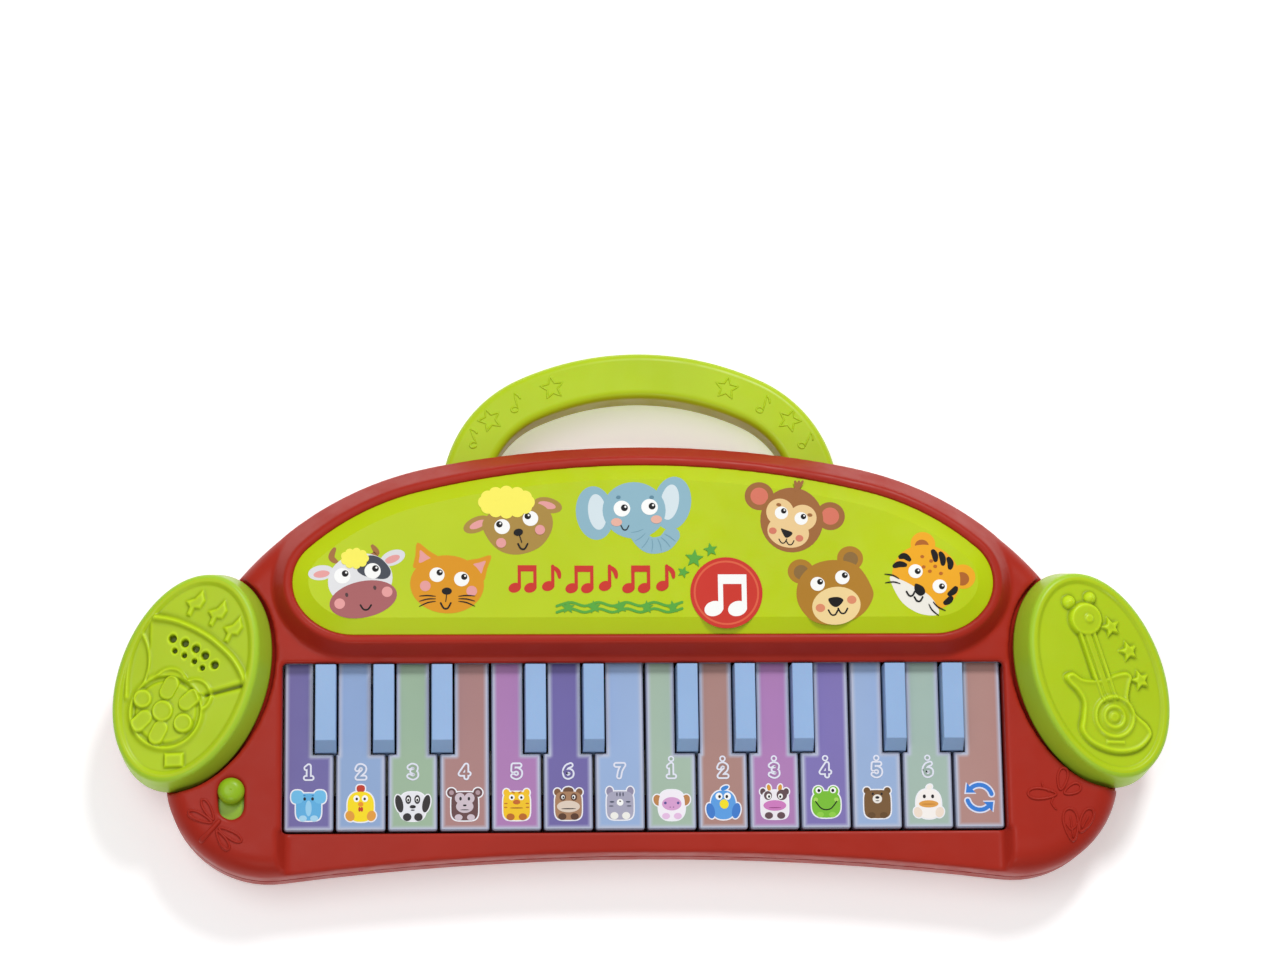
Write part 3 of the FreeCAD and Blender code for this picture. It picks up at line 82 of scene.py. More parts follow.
def surface(name, rgb, rough=0.4, metal=0.0, patch=0.05, grain=0.02, grain_size=0.5,
            specular=0.28, print_and_painted_light=False, scatter=0.0):
    """Plastic, metal or rubber with uneven colour, uneven gloss and a fine moulded grain."""
    mat = bpy.data.materials.new(name)
    mat.use_nodes = True
    tree = mat.node_tree
    shader = tree.nodes["Principled BSDF"]
    shader.inputs["Metallic"].default_value = metal
    shader.inputs["Specular IOR Level"].default_value = specular
    if scatter:
        shader.inputs["Subsurface Weight"].default_value = scatter
        shader.inputs["Subsurface Scale"].default_value = 0.002
    place = tree.nodes.new("ShaderNodeTexCoord").outputs["Object"]

    def noise(size_mm, detail):
        node = tree.nodes.new("ShaderNodeTexNoise")
        node.inputs["Scale"].default_value = 1.0 / (size_mm * MM)
        node.inputs["Detail"].default_value = detail
        tree.links.new(place, node.inputs["Vector"])
        return node.outputs["Fac"]

    def spread(source, low, high):
        node = tree.nodes.new("ShaderNodeMapRange")
        node.inputs["From Min"].default_value = 0.4
        node.inputs["From Max"].default_value = 0.7
        node.inputs["To Min"].default_value = low
        node.inputs["To Max"].default_value = high
        tree.links.new(source, node.inputs["Value"])
        return node.outputs["Result"]

    tint = tree.nodes.new("ShaderNodeHueSaturation")
    # vertex colours: print, and painted shade and highlight
    if print_and_painted_light:
        paint = tree.nodes.new("ShaderNodeVertexColor")
        paint.layer_name = "print_and_painted_light"
        tree.links.new(paint.outputs["Color"], tint.inputs["Color"])
    else:
        tint.inputs["Color"].default_value = linear(rgb)
    tree.links.new(spread(noise(45.0, 3.0), 1.0 - patch, 1.0 + patch), tint.inputs["Value"])
    tree.links.new(tint.outputs["Color"], shader.inputs["Base Color"])
    tree.links.new(spread(noise(9.0, 4.0), rough - 0.06, rough + 0.07), shader.inputs["Roughness"])
    bump = tree.nodes.new("ShaderNodeBump")
    bump.inputs["Strength"].default_value = grain * 10.0
    bump.inputs["Distance"].default_value = 0.02 * MM
    tree.links.new(noise(grain_size, 2.0), bump.inputs["Height"])
    tree.links.new(bump.outputs["Normal"], shader.inputs["Normal"])
    return mat


RED = (168, 42, 28)
LIME = (187, 208, 4)
GREEN = (180, 206, 24)
BLACK_KEY = (150, 182, 224)
PALE = (162, 169, 192)
LOOKS = {"casing_red": dict(rgb=RED, rough=0.4, patch=0.05, grain=0.03, grain_size=0.6,
    scatter=0.04, specular=0.15), "panel_lime": dict(rgb=LIME, rough=0.36, patch=0.03, grain=0.02,
    scatter=0.05), "soft_green": dict(rgb=GREEN, rough=0.38, patch=0.04, grain=0.02, scatter=0.06),
    "knob_green": dict(rgb=(150, 190, 30), rough=0.35, patch=0.04, grain=0.02, scatter=0.05),
    "key_light_blue": dict(rgb=BLACK_KEY, rough=0.36, patch=0.03, grain=0.015, scatter=0.05),}
FINISH = {"gloss_plastic": dict(rough=0.36), "matte_plastic": dict(rough=0.55, grain=0.04),
    "rubber": dict(rough=0.75, grain=0.06), "brushed_steel": dict(rough=0.34, metal=1.0,
    grain=0.03, grain_size=0.2), "paper": dict(rough=0.9, grain=0.08),}

palette = {}
for slot_name, entry in MATERIALS.items():
    look = LOOKS.get(slot_name)
    if slot_name.startswith("key_") and look is None:
        look = dict(rgb=PALE, rough=0.34, patch=0.02, grain=0.015, scatter=0.05)
    if look is None:
        look = dict(rgb=[255 * c for c in entry["base_color"][:3]], **FINISH[entry["class"]])
    palette[slot_name] = surface(slot_name, **look)
# print, and the painted edge highlight of the key labels
PRINT_AND_EDGE_HIGHLIGHT = surface("print_and_edge_highlight", PALE, rough=0.42, patch=0.025, grain=0.015, specular=0.2, print_and_painted_light=True)

for node_name, node in NODES.items():
    node.data.materials.clear()
    node.data.materials.append(palette[SLOT_OF[node_name]])


# ---- mesh helpers -------------------------------------------------------

def build(name, verts, faces, material, body, smooth=True, colours=None):
    """A mesh piece in millimetres that rides on a CAD body."""
    mesh = bpy.data.meshes.new(name)
    mesh.from_pydata([tuple(c * MM for c in v) for v in verts], [], faces)
    mesh.materials.append(material)
    if colours is not None:
        # vertex colours: print, and painted shade and highlight on the pads and key labels
        layer = mesh.color_attributes.new("print_and_painted_light", "FLOAT_COLOR", "POINT")
        layer.data.foreach_set("color", np.array(colours, np.float32).ravel())
    mesh.polygons.foreach_set("use_smooth", [smooth] * len(mesh.polygons))
    mesh.update()
    obj = bpy.data.objects.new(name, mesh)
    bpy.context.scene.collection.objects.link(obj)
    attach(obj, body)
    return obj


def belt(a, b, steps):
    """Quads between two rings of points that start at the indices a and b."""
    return [[a + i, b + i, b + (i + 1) % steps, a + (i + 1) % steps] for i in range(steps)]


def box_mm(node_name):
    low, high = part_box(node_name)
    return low / MM, high / MM


def tree_of(node_name):
    mesh = NODES[node_name].data
    return BVHTree.FromPolygons([v.co for v in mesh.vertices], [tuple(p.vertices) for p in
        mesh.polygons])


def drop(bvh, x, y):
    """Height of a CAD surface, in millimetres, looking straight down."""
    hit = bvh.ray_cast(Vector((x * MM, y * MM, 1.0)), Vector((0, 0, -1)))[0]
    return hit.z / MM if hit else None


def smooth_path(points, closed=False, steps=6):
    """Points joined by a Catmull-Rom curve."""
    pts = [np.array(p, float) for p in points]
    n = len(pts)
    out = []
    for i in range(n if closed else n - 1):
        p0 = pts[(i - 1) % n] if closed or i else pts[0]
        p1 = pts[i]
        p2 = pts[(i + 1) % n]
        p3 = pts[(i + 2) % n] if closed or i + 2 < n else pts[-1]
        for k in range(steps):
            t = k / steps
            out.append(0.5 * (2 * p1 + (p2 - p0) * t + (2 * p0 - 5 * p1 + 4 * p2 - p3) * t * t +
                (3 * p1 - p0 - 3 * p2 + p3) * t ** 3))
    if not closed:
        out.append(pts[-1])
    return [tuple(p) for p in out]


def turned(points, cx, cy, degrees):
    """Points turned about the origin, then moved to (cx, cy)."""
    c, s = math.cos(math.radians(degrees)), math.sin(math.radians(degrees))
    return [(cx + x * c - y * s, cy + x * s + y * c) for x, y in points]


def full_turn(steps):
    return [2 * math.pi * k / steps for k in range(steps)]


def ellipse(cx, cy, rx, ry, turn=0.0, steps=36):
    return turned([(rx * math.cos(t), ry * math.sin(t)) for t in full_turn(steps)], cx, cy, turn)


def star(cx, cy, r, turn=90.0, inner=0.45):
    out = []
    for k in range(10):
        a = math.radians(turn + 36 * k)
        reach = r if k % 2 == 0 else r * inner
        out.append((cx + reach * math.cos(a), cy + reach * math.sin(a)))
    return out


def ribbon(points, width, taper=False):
    """Left and right edges of a stroke along a path, with round ends unless it tapers."""
    pts = np.array(points, float)
    if len(pts) == 2:
        pts = np.linspace(pts[0], pts[1], 4)
    tangent = np.gradient(pts, axis=0)
    tangent /= np.maximum(np.linalg.norm(tangent, axis=1), 1e-9)[:, None]
    half = np.full(len(pts), 0.5 * width)
    if taper:
        half *= np.sin(np.linspace(0.15, math.pi - 0.15, len(pts))) ** 0.6
    else:
        reach = np.array([0.98, 0.9, 0.75, 0.5, 0.25])
        cap = 0.5 * width * np.sqrt(1 - reach ** 2)
        start = pts[0] - 0.5 * width * reach[:, None] * tangent[0]
        end = pts[-1] + 0.5 * width * reach[::-1, None] * tangent[-1]
        pts = np.vstack([start, pts, end])
        half = np.concatenate([cap, half, cap[::-1]])
        tangent = np.vstack([[tangent[0]] * 5, tangent, [tangent[-1]] * 5])
    normal = np.stack([-tangent[:, 1], tangent[:, 0]], 1)
    return pts + normal * half[:, None], pts - normal * half[:, None]


LAYER = 0.009                    # each printed colour lies this much above the last one
PRINT_SINK = 0.02                # the plates reach this far below the surface

# centre lines of the digits in a box one unit high; two points are a straight stroke
DIGITS = {"1": (((-0.2, 0.34), (0.0, 0.5)), ((0.0, 0.5), (0.0, -0.5)),
    ((-0.24, -0.5), (0.24, -0.5))), "2": (((-0.3, 0.24), (-0.18, 0.46), (0.06, 0.5), (0.28, 0.34),
    (0.24, 0.08), (-0.02, -0.18), (-0.28, -0.5)), ((-0.28, -0.5), (0.32, -0.5))),
    "3": (((-0.28, 0.38), (-0.04, 0.51), (0.24, 0.4), (0.2, 0.12), (-0.04, 0.03)),
    ((-0.04, 0.03), (0.24, -0.08), (0.28, -0.36), (0.02, -0.51), (-0.3, -0.38))),
    "4": (((0.14, -0.5), (0.14, 0.5)), ((0.14, 0.5), (-0.34, -0.2)), ((-0.34, -0.2),
    (0.34, -0.2))), "5": (((0.26, 0.5), (-0.24, 0.5)), ((-0.24, 0.5), (-0.27, 0.06)),
    ((-0.27, 0.06), (0.02, 0.14), (0.29, -0.04), (0.27, -0.36), (0.0, -0.51), (-0.28, -0.4))),
    "6": (((0.22, 0.5), (-0.06, 0.38), (-0.24, 0.12), (-0.28, -0.2)), ((-0.28, -0.2),
    (-0.18, -0.44), (0.04, -0.5), (0.27, -0.36), (0.27, -0.1), (0.06, 0.02), (-0.18, -0.04))),
    "7": (((-0.3, 0.5), (0.32, 0.5)), ((0.32, 0.5), (0.06, 0.04), (-0.06, -0.5))),}


class Art:
    """Printed artwork: thin closed plates stacked in layers, with a colour on every point."""

    def __init__(self, x, y, z, scale=1.0):
        self.x, self.y, self.z = x, y, z
        self.scale = scale
        self.verts, self.faces, self.colours = [], [], []
        self.layer = 1

    def place(self, p):
        return self.x + self.scale * p[0], self.y + self.scale * p[1]

    def fill(self, rgb, points):
        area = sum(p[0] * q[1] - q[0] * p[1] for p, q in zip(points, points[1:] + points[:1]))
        if area < 0:
            points = points[::-1]
        self.layer += 1
        top = self.z + LAYER * self.layer
        base = len(self.verts)
        n = len(points)
        flat = [self.place(p) for p in points]
        for z in (top, self.z - PRINT_SINK):
            self.verts += [(x, y, z) for x, y in flat]
        self.faces.append([base + k for k in range(n)])
        self.faces.append([base + n + k for k in reversed(range(n))])
        for k in range(n):
            m = (k + 1) % n
            self.faces.append([base + k, base + n + k, base + n + m, base + m])
        self.colours += [linear(rgb)] * (2 * n)

    def oval(self, rgb, cx, cy, rx, ry, turn=0.0, steps=36):
        self.fill(rgb, ellipse(cx, cy, rx, ry, turn, steps))

    def spots(self, rgb, centres, rx, ry, turn=0.0):
        for cx, cy in centres:
            self.oval(rgb, cx, cy, rx, ry, turn)

    def blob(self, rgb, corners):
        """A filled shape with a smooth outline through the corners."""
        self.fill(rgb, smooth_path(corners, True))

    def stroke(self, rgb, points, width, taper=False):
        left, right = ribbon(points, width, taper)
        self.layer += 1
        top = self.z + LAYER * self.layer
        base = len(self.verts)
        for p, q in zip(left, right):
            (px, py), (qx, qy) = self.place(p), self.place(q)
            self.verts += [(px, py, top), (qx, qy, top),
                           (qx, qy, self.z - PRINT_SINK), (px, py, self.z - PRINT_SINK)]
        n = len(left)
        for k in range(n - 1):
            a, b = base + 4 * k, base + 4 * k + 4
            for i in range(4):
                m = (i + 1) % 4
                self.faces.append([a + i, a + m, b + m, b + i])
        self.faces.append([base + i for i in reversed(range(4))])
        self.faces.append([base + 4 * (n - 1) + i for i in range(4)])
        self.colours += [linear(rgb)] * (4 * n)

    def brush(self, rgb, points, width):
        """A smooth stroke that thins out at both ends."""
        self.stroke(rgb, smooth_path(points), width, True)

    def digit(self, rgb, text, x, y, height, width):
        for line in DIGITS[text]:
            path = [(x + height * px, y + height * py) for px, py in line]
            self.stroke(rgb, smooth_path(path) if len(path) > 2 else path, width)

    def finish(self, name, body):
        return build(name, self.verts, self.faces, PRINT_AND_EDGE_HIGHLIGHT, body, False, self.colours)


WHITE = (250, 250, 248)
DARK = (14, 12, 14)
PINK = (232, 160, 158)


def eye(art, x, y, r, look=(0.35, 0.3)):
    art.oval(WHITE, x, y, r, r * 0.98)
    px, py = x + look[0] * r, y + look[1] * r
    art.oval(DARK, px, py, r * 0.42, r * 0.42, steps=20)
    art.oval(WHITE, px + 0.12 * r, py + 0.12 * r, r * 0.13, r * 0.13, steps=12)


def smile(art, x, y, w, d, rgb=DARK, width=0.62):
    art.stroke(rgb, smooth_path([(x - w, y + 0.4 * d), (x - 0.4 * w, y - 0.7 * d),
        (x + 0.4 * w, y - 0.7 * d), (x + w, y + 0.4 * d)]), width)


def ear(art, rgb, outer, lining, inner, turn=0.0):
    """An oval ear (cx, cy, rx, ry) with a lining."""
    art.oval(rgb, *outer, turn)
    art.oval(lining, *inner, turn)


def cloud(art, rgb, x, y, rx, ry, bumps, size):
    art.oval(rgb, x, y, rx, ry)
    for a in full_turn(bumps):
        art.oval(rgb, x + rx * 0.92 * math.cos(a), y + ry * 0.92 * math.sin(a), size, size,
                 steps=20)


# ---- casing: soft moulded edges -----------------------------------------

def welded(node_name):
    """The CAD node, with the points joined that its faces share."""
    obj = NODES[node_name]
    obj.modifiers.new("weld", "WELD").merge_threshold = 0.00001
    return obj


def soften(node_name, voxel, passes):
    """Round every edge with a fine voxel mesh that is relaxed afterwards."""
    obj = welded(node_name)
    remesh = obj.modifiers.new("remesh", "REMESH")
    remesh.mode = "VOXEL"
    remesh.voxel_size = voxel * MM
    remesh.use_smooth_shade = True
    relax = obj.modifiers.new("relax", "SMOOTH")
    relax.factor = 0.5
    relax.iterations = passes


soften("upper_casing", 0.7, 9)


def bevel(node_name, width):
    mod = welded(node_name).modifiers.new("bevel", "BEVEL")
    mod.width = width * MM
    mod.segments = 3
    mod.limit_method = "ANGLE"
    mod.angle_limit = math.radians(35)
    mod.harden_normals = True


for node_name in NODES:
    if node_name.startswith("black_key"):
        bevel(node_name, 0.45)


RIDGE_SINK = 0.4


def ridge(name, paths, width, height, bvh, slot, closed=False):
    """Raised round lines that follow a surface of the casing: moulded relief."""
    verts, faces = [], []
    profile = [(-1.0, -RIDGE_SINK), (-0.9, 0.25 * height), (-0.5, 0.85 * height), (0.0, height),
               (0.5, 0.85 * height), (0.9, 0.25 * height), (1.0, -RIDGE_SINK)]
    m = len(profile)
    for path in paths:
        pts = np.array(path, float)
        n = len(pts)
        if closed:
            tangent = np.roll(pts, -1, 0) - np.roll(pts, 1, 0)
        else:
            tangent = np.gradient(pts, axis=0)
        tangent /= np.maximum(np.linalg.norm(tangent, axis=1), 1e-9)[:, None]
        base = len(verts)
        z = drop(bvh, pts[0][0], pts[0][1])
        for k in range(n):
            nx, ny = -tangent[k][1], tangent[k][0]
            below = drop(bvh, pts[k][0], pts[k][1])
            z = z if below is None else below
            fade = 1.0
            if not closed:
                fade = min(1.0, 0.45 + 0.4 * min(k, n - 1 - k))
            for across, up in profile:
                x = pts[k][0] + nx * across * 0.5 * width * fade
                y = pts[k][1] + ny * across * 0.5 * width * fade
                zz = drop(bvh, x, y)
                zz = z if zz is None or abs(zz - z) > 1.5 else zz
                verts.append((x, y, zz + (up * fade if up > 0 else up)))
        last = n if closed else n - 1
        for k in range(last):
            a, b = base + k * m, base + ((k + 1) % n) * m
            for i in range(m - 1):
                faces.append([a + i, b + i, b + i + 1, a + i + 1])
            faces.append([a + m - 1, b + m - 1, b, a])
        if not closed:
            faces.append([base + i for i in range(m)])
            faces.append([base + (n - 1) * m + i for i in reversed(range(m))])
    build(name, verts, faces, palette[slot], "casing")


casing_top = tree_of("upper_casing")


def petal(cx, cy, length, wide, turn):
    """Closed leaf outline that starts at (cx, cy)."""
    leaf = [(0.5 * length * (1 - math.cos(t)),
             0.5 * wide * math.sin(t) * (0.75 - 0.25 * math.cos(t))) for t in full_turn(28)]
    return turned(leaf, cx, cy, turn)


DRAGONFLY_WINGS = ((-154.2, -78.4, 9.0, 3.4, 155), (-153.6, -77.4, 8.2, 3.2, 119),
    (-151.6, -80.4, 9.2, 3.4, -31), (-152.4, -81.4, 7.8, 3.2, -58))
DRAGONFLY_BODY = (((-151.2, -77.4), (-153.8, -80.4), (-156.2, -83.0), (-158.4, -85.2)),)
FLOWER_PETALS = ((147.2, -69.8, 10.2, 5.0, 178), (148.8, -68.2, 8.0, 4.6, 78),
    (150.2, -69.4, 6.4, 4.4, 24), (152.8, -86.6, 11.6, 6.8, 96), (155.4, -83.4, 9.2, 5.2, 62))
FLOWER_VEINS = (((146.2, -71.0), (145.4, -73.0), (147.2, -75.6)), ((142.0, -65.2), (142.8, -67.4),
    (145.0, -69.0)), ((152.8, -85.6), (152.4, -82.0), (152.0, -77.6)),
    ((152.6, -83.0), (151.4, -82.0), (150.6, -80.6)), ((152.5, -82.4), (153.6, -81.6),
    (154.4, -80.2)), ((156.0, -82.2), (157.2, -80.0), (158.6, -77.6)))
for name, petals, line_name, lines, width, height in (
        ("dragonfly_wings", DRAGONFLY_WINGS, "dragonfly_body", DRAGONFLY_BODY, 2.0, 0.9),
        ("flower_outline", FLOWER_PETALS, "flower_veins", FLOWER_VEINS, 0.9, 0.5)):
    ridge(name, [petal(*p) for p in petals], 1.1, 0.6, casing_top, "casing_red", True)
    ridge(line_name, [smooth_path(p) for p in lines], width, height, casing_top, "casing_red")

# stars and notes moulded on the handle band
handle_top = tree_of("handle_front_shell")
grip_high = box_mm("handle_front_shell")[1]


def note_lines(cx, cy, size, turn):
    """A simple music note drawn as lines."""
    stem = [(0.4, -0.7), (0.4, -0.2), (0.4, 0.4), (0.4, 1.0)]
    flag = smooth_path([(0.4, 1.0), (0.75, 0.7), (0.95, 0.2)])
    head = [(0.05 + 0.38 * math.cos(t), -0.75 + 0.3 * math.sin(t))
            for t in np.linspace(0, 1.9 * math.pi, 12)]
    return [turned([(size * x, size * y) for x, y in line], cx, cy, turn)
            for line in (stem, flag, head)]


def handle_point(share):
    """A point on the middle of the handle band; share 0 is the top, 1 where it meets the body."""
    wide = grip_high.x - 8.5
    reach = grip_high.y - 8.5
    bend = math.radians(78.0 * share)
    return wide * math.sin(bend) ** 0.92, reach - 34.0 * (1 - math.cos(bend)) ** 0.9


star_paths, note_paths = [], []
for side in (-1, 1):
    for k, share in enumerate((0.36, 0.56, 0.74, 0.92)):
        x, y = handle_point(share)
        if k % 2 == 0:
            star_paths.append(star(side * x, y, 4.4, 90 - side * 30 * share))
        else:
            note_paths += note_lines(side * x - 1.0, y, 3.4, -side * 25 * share)


def divide(points, steps=3):
    """A closed polygon with extra points on every edge."""
    out = []
    for p, q in zip(points, points[1:] + points[:1]):
        for k in range(steps):
            t = k / steps
            out.append((p[0] + (q[0] - p[0]) * t, p[1] + (q[1] - p[1]) * t))
    return out


ridge("handle_stars", [divide(p) for p in star_paths], 0.8, 0.4, handle_top, "soft_green", True)
ridge("handle_notes", note_paths, 0.9, 0.4, handle_top, "soft_green")


# ---- picture panel ------------------------------------------------------

DRAWN_PANEL_WIDTH = 252.4        # the pictures are drawn for a panel of this width
panel_low, panel_high = box_mm("picture_panel")
PANEL_Z = panel_high.z
PANEL_SCALE = (panel_high.x - panel_low.x) / DRAWN_PANEL_WIDTH


def cow(art):
    for side, cx, cy, turn in ((-1, -14.6, 3.4, 8), (1, 11.0, 8.8, 22)):
        ear(art, (222, 222, 226), (cx, cy, 4.6, 2.7), PINK,
            (cx - 0.2 * side, cy - 0.5, 2.9, 1.3), turn)
    art.brush((166, 112, 62), [(-8.6, 7.0), (-10.9, 9.0), (-9.6, 12.6)], 2.2)
    art.brush((166, 112, 62), [(2.6, 9.4), (5.2, 10.6), (3.4, 13.6)], 2.2)
    art.oval((226, 226, 228), -0.6, 0.8, 11.6, 9.6, 12)
    art.blob((70, 74, 84), [(-1.6, 5.0), (1.6, 9.4), (6.4, 8.8), (10.2, 4.2), (8.6, 1.2),
        (3.0, 1.6), (-0.6, 3.0)])
    art.oval((170, 98, 100), 0.5, -6.3, 12.2, 6.6, 12)
    art.spots(PINK, ((-7.9, -7.9), (9.0, -3.6)), 1.9, 1.9)
    art.spots((84, 60, 62), ((-5.4, -4.7), (4.6, -2.1)), 0.55, 0.8, 12)
    smile(art, 1.4, -9.0, 1.9, 1.4)
    eye(art, -7.0, 2.2, 2.9)
    eye(art, 3.8, 4.0, 2.9)
    cloud(art, (250, 240, 96), -2.6, 8.6, 3.9, 2.6, 9, 1.5)


def cat(art):
    fur = (222, 150, 22)
    for outer, inner in ((((-12.0, 5.2), (-10.6, 14.6), (-2.4, 8.6)), ((-10.0, 7.2), (-9.6, 11.8),
            (-5.4, 8.4))), (((6.8, 7.6), (15.8, 9.8), (13.0, 0.4)), ((9.4, 6.6), (13.8, 7.8),
            (12.2, 3.2)))):
        art.fill(fur, smooth_path(divide(outer, 2), True, 3))
        art.fill(PINK, smooth_path(divide(inner, 2), True, 3))
    art.oval(fur, 0.0, -0.7, 13.2, 10.6, -3)
    eye(art, -3.6, 2.8, 2.7)
    eye(art, 5.2, 1.2, 2.7)
    art.spots(PINK, ((-7.8, -1.3), (8.8, -3.2)), 1.9, 1.9)
    art.oval(DARK, -0.1, -3.2, 1.8, 1.3)
    art.stroke(DARK, [(-0.2, -4.2), (-0.3, -5.6), (-0.5, -7.0)], 0.35)
    smile(art, -0.5, -8.2, 1.8, 1.7)
    for side in (-1, 1):
        for k in range(3):
            y = -4.6 - 0.9 * k
            art.brush(DARK, [(side * 4.0, y - 0.5), (side * 7.0, y - 0.2 - 0.4 * k),
                (side * 10.0, y - 0.4 - 1.0 * k)], 0.45)


def sheep(art):
    fur = (172, 138, 66)
    for side, cx, cy, turn in ((-1, -13.6, 1.2, 24), (1, 11.9, 8.3, -14)):
        ear(art, fur, (cx, cy, 5.2, 2.8), PINK, (cx - 0.3 * side, cy, 3.2, 1.3), turn)
    art.blob(fur, [(-11.4, 2.6), (-10.0, -3.6), (-5.2, -8.6), (1.6, -9.8), (9.0, -7.0),
                   (13.2, -1.0), (13.0, 5.0), (8.0, 9.0), (-4.0, 8.0)])
    eye(art, -4.6, 0.4, 2.8, (-0.35, 0.3))
    eye(art, 5.6, 3.4, 2.8, (-0.35, 0.3))
    cloud(art, (252, 241, 98), -3.0, 9.4, 8.4, 3.9, 12, 2.5)
    art.oval(DARK, 1.2, -1.7, 1.7, 1.3, 12)
    art.stroke(DARK, [(1.6, -2.8), (2.0, -4.0), (2.4, -5.4)], 0.35)
    smile(art, 2.8, -6.6, 1.7, 1.6)
    art.spots(PINK, ((-5.0, -5.6), (9.0, -0.8)), 1.8, 1.8)


def elephant(art):
    skin = (142, 182, 198)
    for side, cx, cy, turn in ((-1, -14.2, 0.6, 6), (1, 13.8, 4.2, -10)):
        ear(art, skin, (cx, cy, 6.8, 9.9), (214, 228, 234),
            (cx - side * 0.9, cy + 0.4, 3.3, 6.6), turn)
    art.oval(skin, 0.0, 1.6, 11.4, 10.4)
    trunk = smooth_path([(0.6, -3.0), (1.6, -7.6), (5.4, -11.2), (10.6, -10.6), (13.4, -7.6)])
    art.stroke(skin, trunk, 6.0)
    for k in range(7):
        t = trunk[4 + 3 * k]
        q = trunk[5 + 3 * k]
        dx, dy = q[0] - t[0], q[1] - t[1]
        size = max(math.hypot(dx, dy), 1e-6)
        nx, ny = -dy / size, dx / size
        art.brush((116, 158, 176), [(t[0] - 2.4 * nx, t[1] - 2.4 * ny),
            (t[0] + 0.3 * dx, t[1] + 0.3 * dy), (t[0] + 2.4 * nx, t[1] + 2.4 * ny)], 0.35)
    eye(art, -4.4, 2.2, 3.0, (0.3, 0.1))
    eye(art, 5.6, 2.8, 3.0, (0.3, 0.1))
    art.spots((232, 178, 160), ((-6.4, -2.8), (8.0, -1.8)), 2.0, 1.5)
    for cx in (-5.6, 6.4):
        art.oval((96, 138, 158), cx, 6.4, 0.8, 0.6)
    smile(art, -3.4, -4.6, 1.4, 1.3, width=0.4)


def monkey(art):
    fur, skin = (160, 104, 56), (238, 204, 146)
    for cx, cy in ((-11.8, 8.8), (13.8, 1.4)):
        ear(art, fur, (cx, cy, 5.3, 5.2), (218, 118, 96), (cx, cy, 3.2, 3.2))
    art.oval(fur, -0.2, 0.0, 11.4, 12.0, -8)
    for lean in (-1.2, 0.4, 1.9):
        art.brush(fur, [(1.4, 10.6), (2.2 + 0.4 * lean, 12.6), (2.4 + lean, 14.6)], 1.3)
    art.oval(skin, -4.4, 2.9, 5.0, 5.0)
    art.oval(skin, 3.8, 0.8, 5.0, 4.8)
    art.oval(skin, -1.6, -4.4, 7.6, 5.8, -12)
    eye(art, -3.9, 2.6, 2.4)
    eye(art, 3.2, 0.5, 2.4)
    art.blob(DARK, [(-4.2, -3.2), (-2.8, -3.6), (-0.2, -4.6), (-0.6, -5.8), (-2.4, -6.6),
                    (-3.6, -5.0)])
    smile(art, -3.6, -7.6, 1.4, 1.2, width=0.4)
    smile(art, -1.0, -8.2, 1.4, 1.2, width=0.4)
    art.spots((216, 124, 100), ((-7.2, -4.0), (2.4, -6.8)), 1.4, 1.2)
    art.spots(fur, ((-4.8, 5.6), (6.4, 1.8)), 0.9, 0.6, -10)


def bear(art):
    fur, skin = (176, 124, 36), (240, 212, 150)
    for cx, cy in ((-12.0, 7.0), (6.0, 11.8)):
        ear(art, fur, (cx, cy, 4.7, 4.5), (140, 106, 56), (cx + 0.2, cy - 0.3, 2.7, 2.7))
    art.blob(fur, [(-13.4, -4.0), (-12.6, 4.0), (-7.0, 9.6), (1.0, 11.2), (8.6, 9.0), (13.2, 2.0),
                   (13.8, -3.0), (9.0, -9.4), (-1.0, -12.4), (-8.6, -10.8)])
    art.oval(skin, 0.6, -5.6, 8.8, 6.9, 10)
    art.blob(DARK, [(-2.2, -3.0), (1.2, -2.4), (3.2, -3.6), (1.0, -6.0), (-1.2, -5.4)])
    smile(art, -0.6, -7.8, 1.7, 1.5)
    smile(art, 2.9, -7.2, 1.7, 1.5)
    art.spots((222, 140, 104), ((-5.2, -6.4), (6.2, -3.4)), 1.7, 1.5)
    eye(art, -6.0, 2.4, 2.6)
    eye(art, 3.0, 4.8, 2.6)


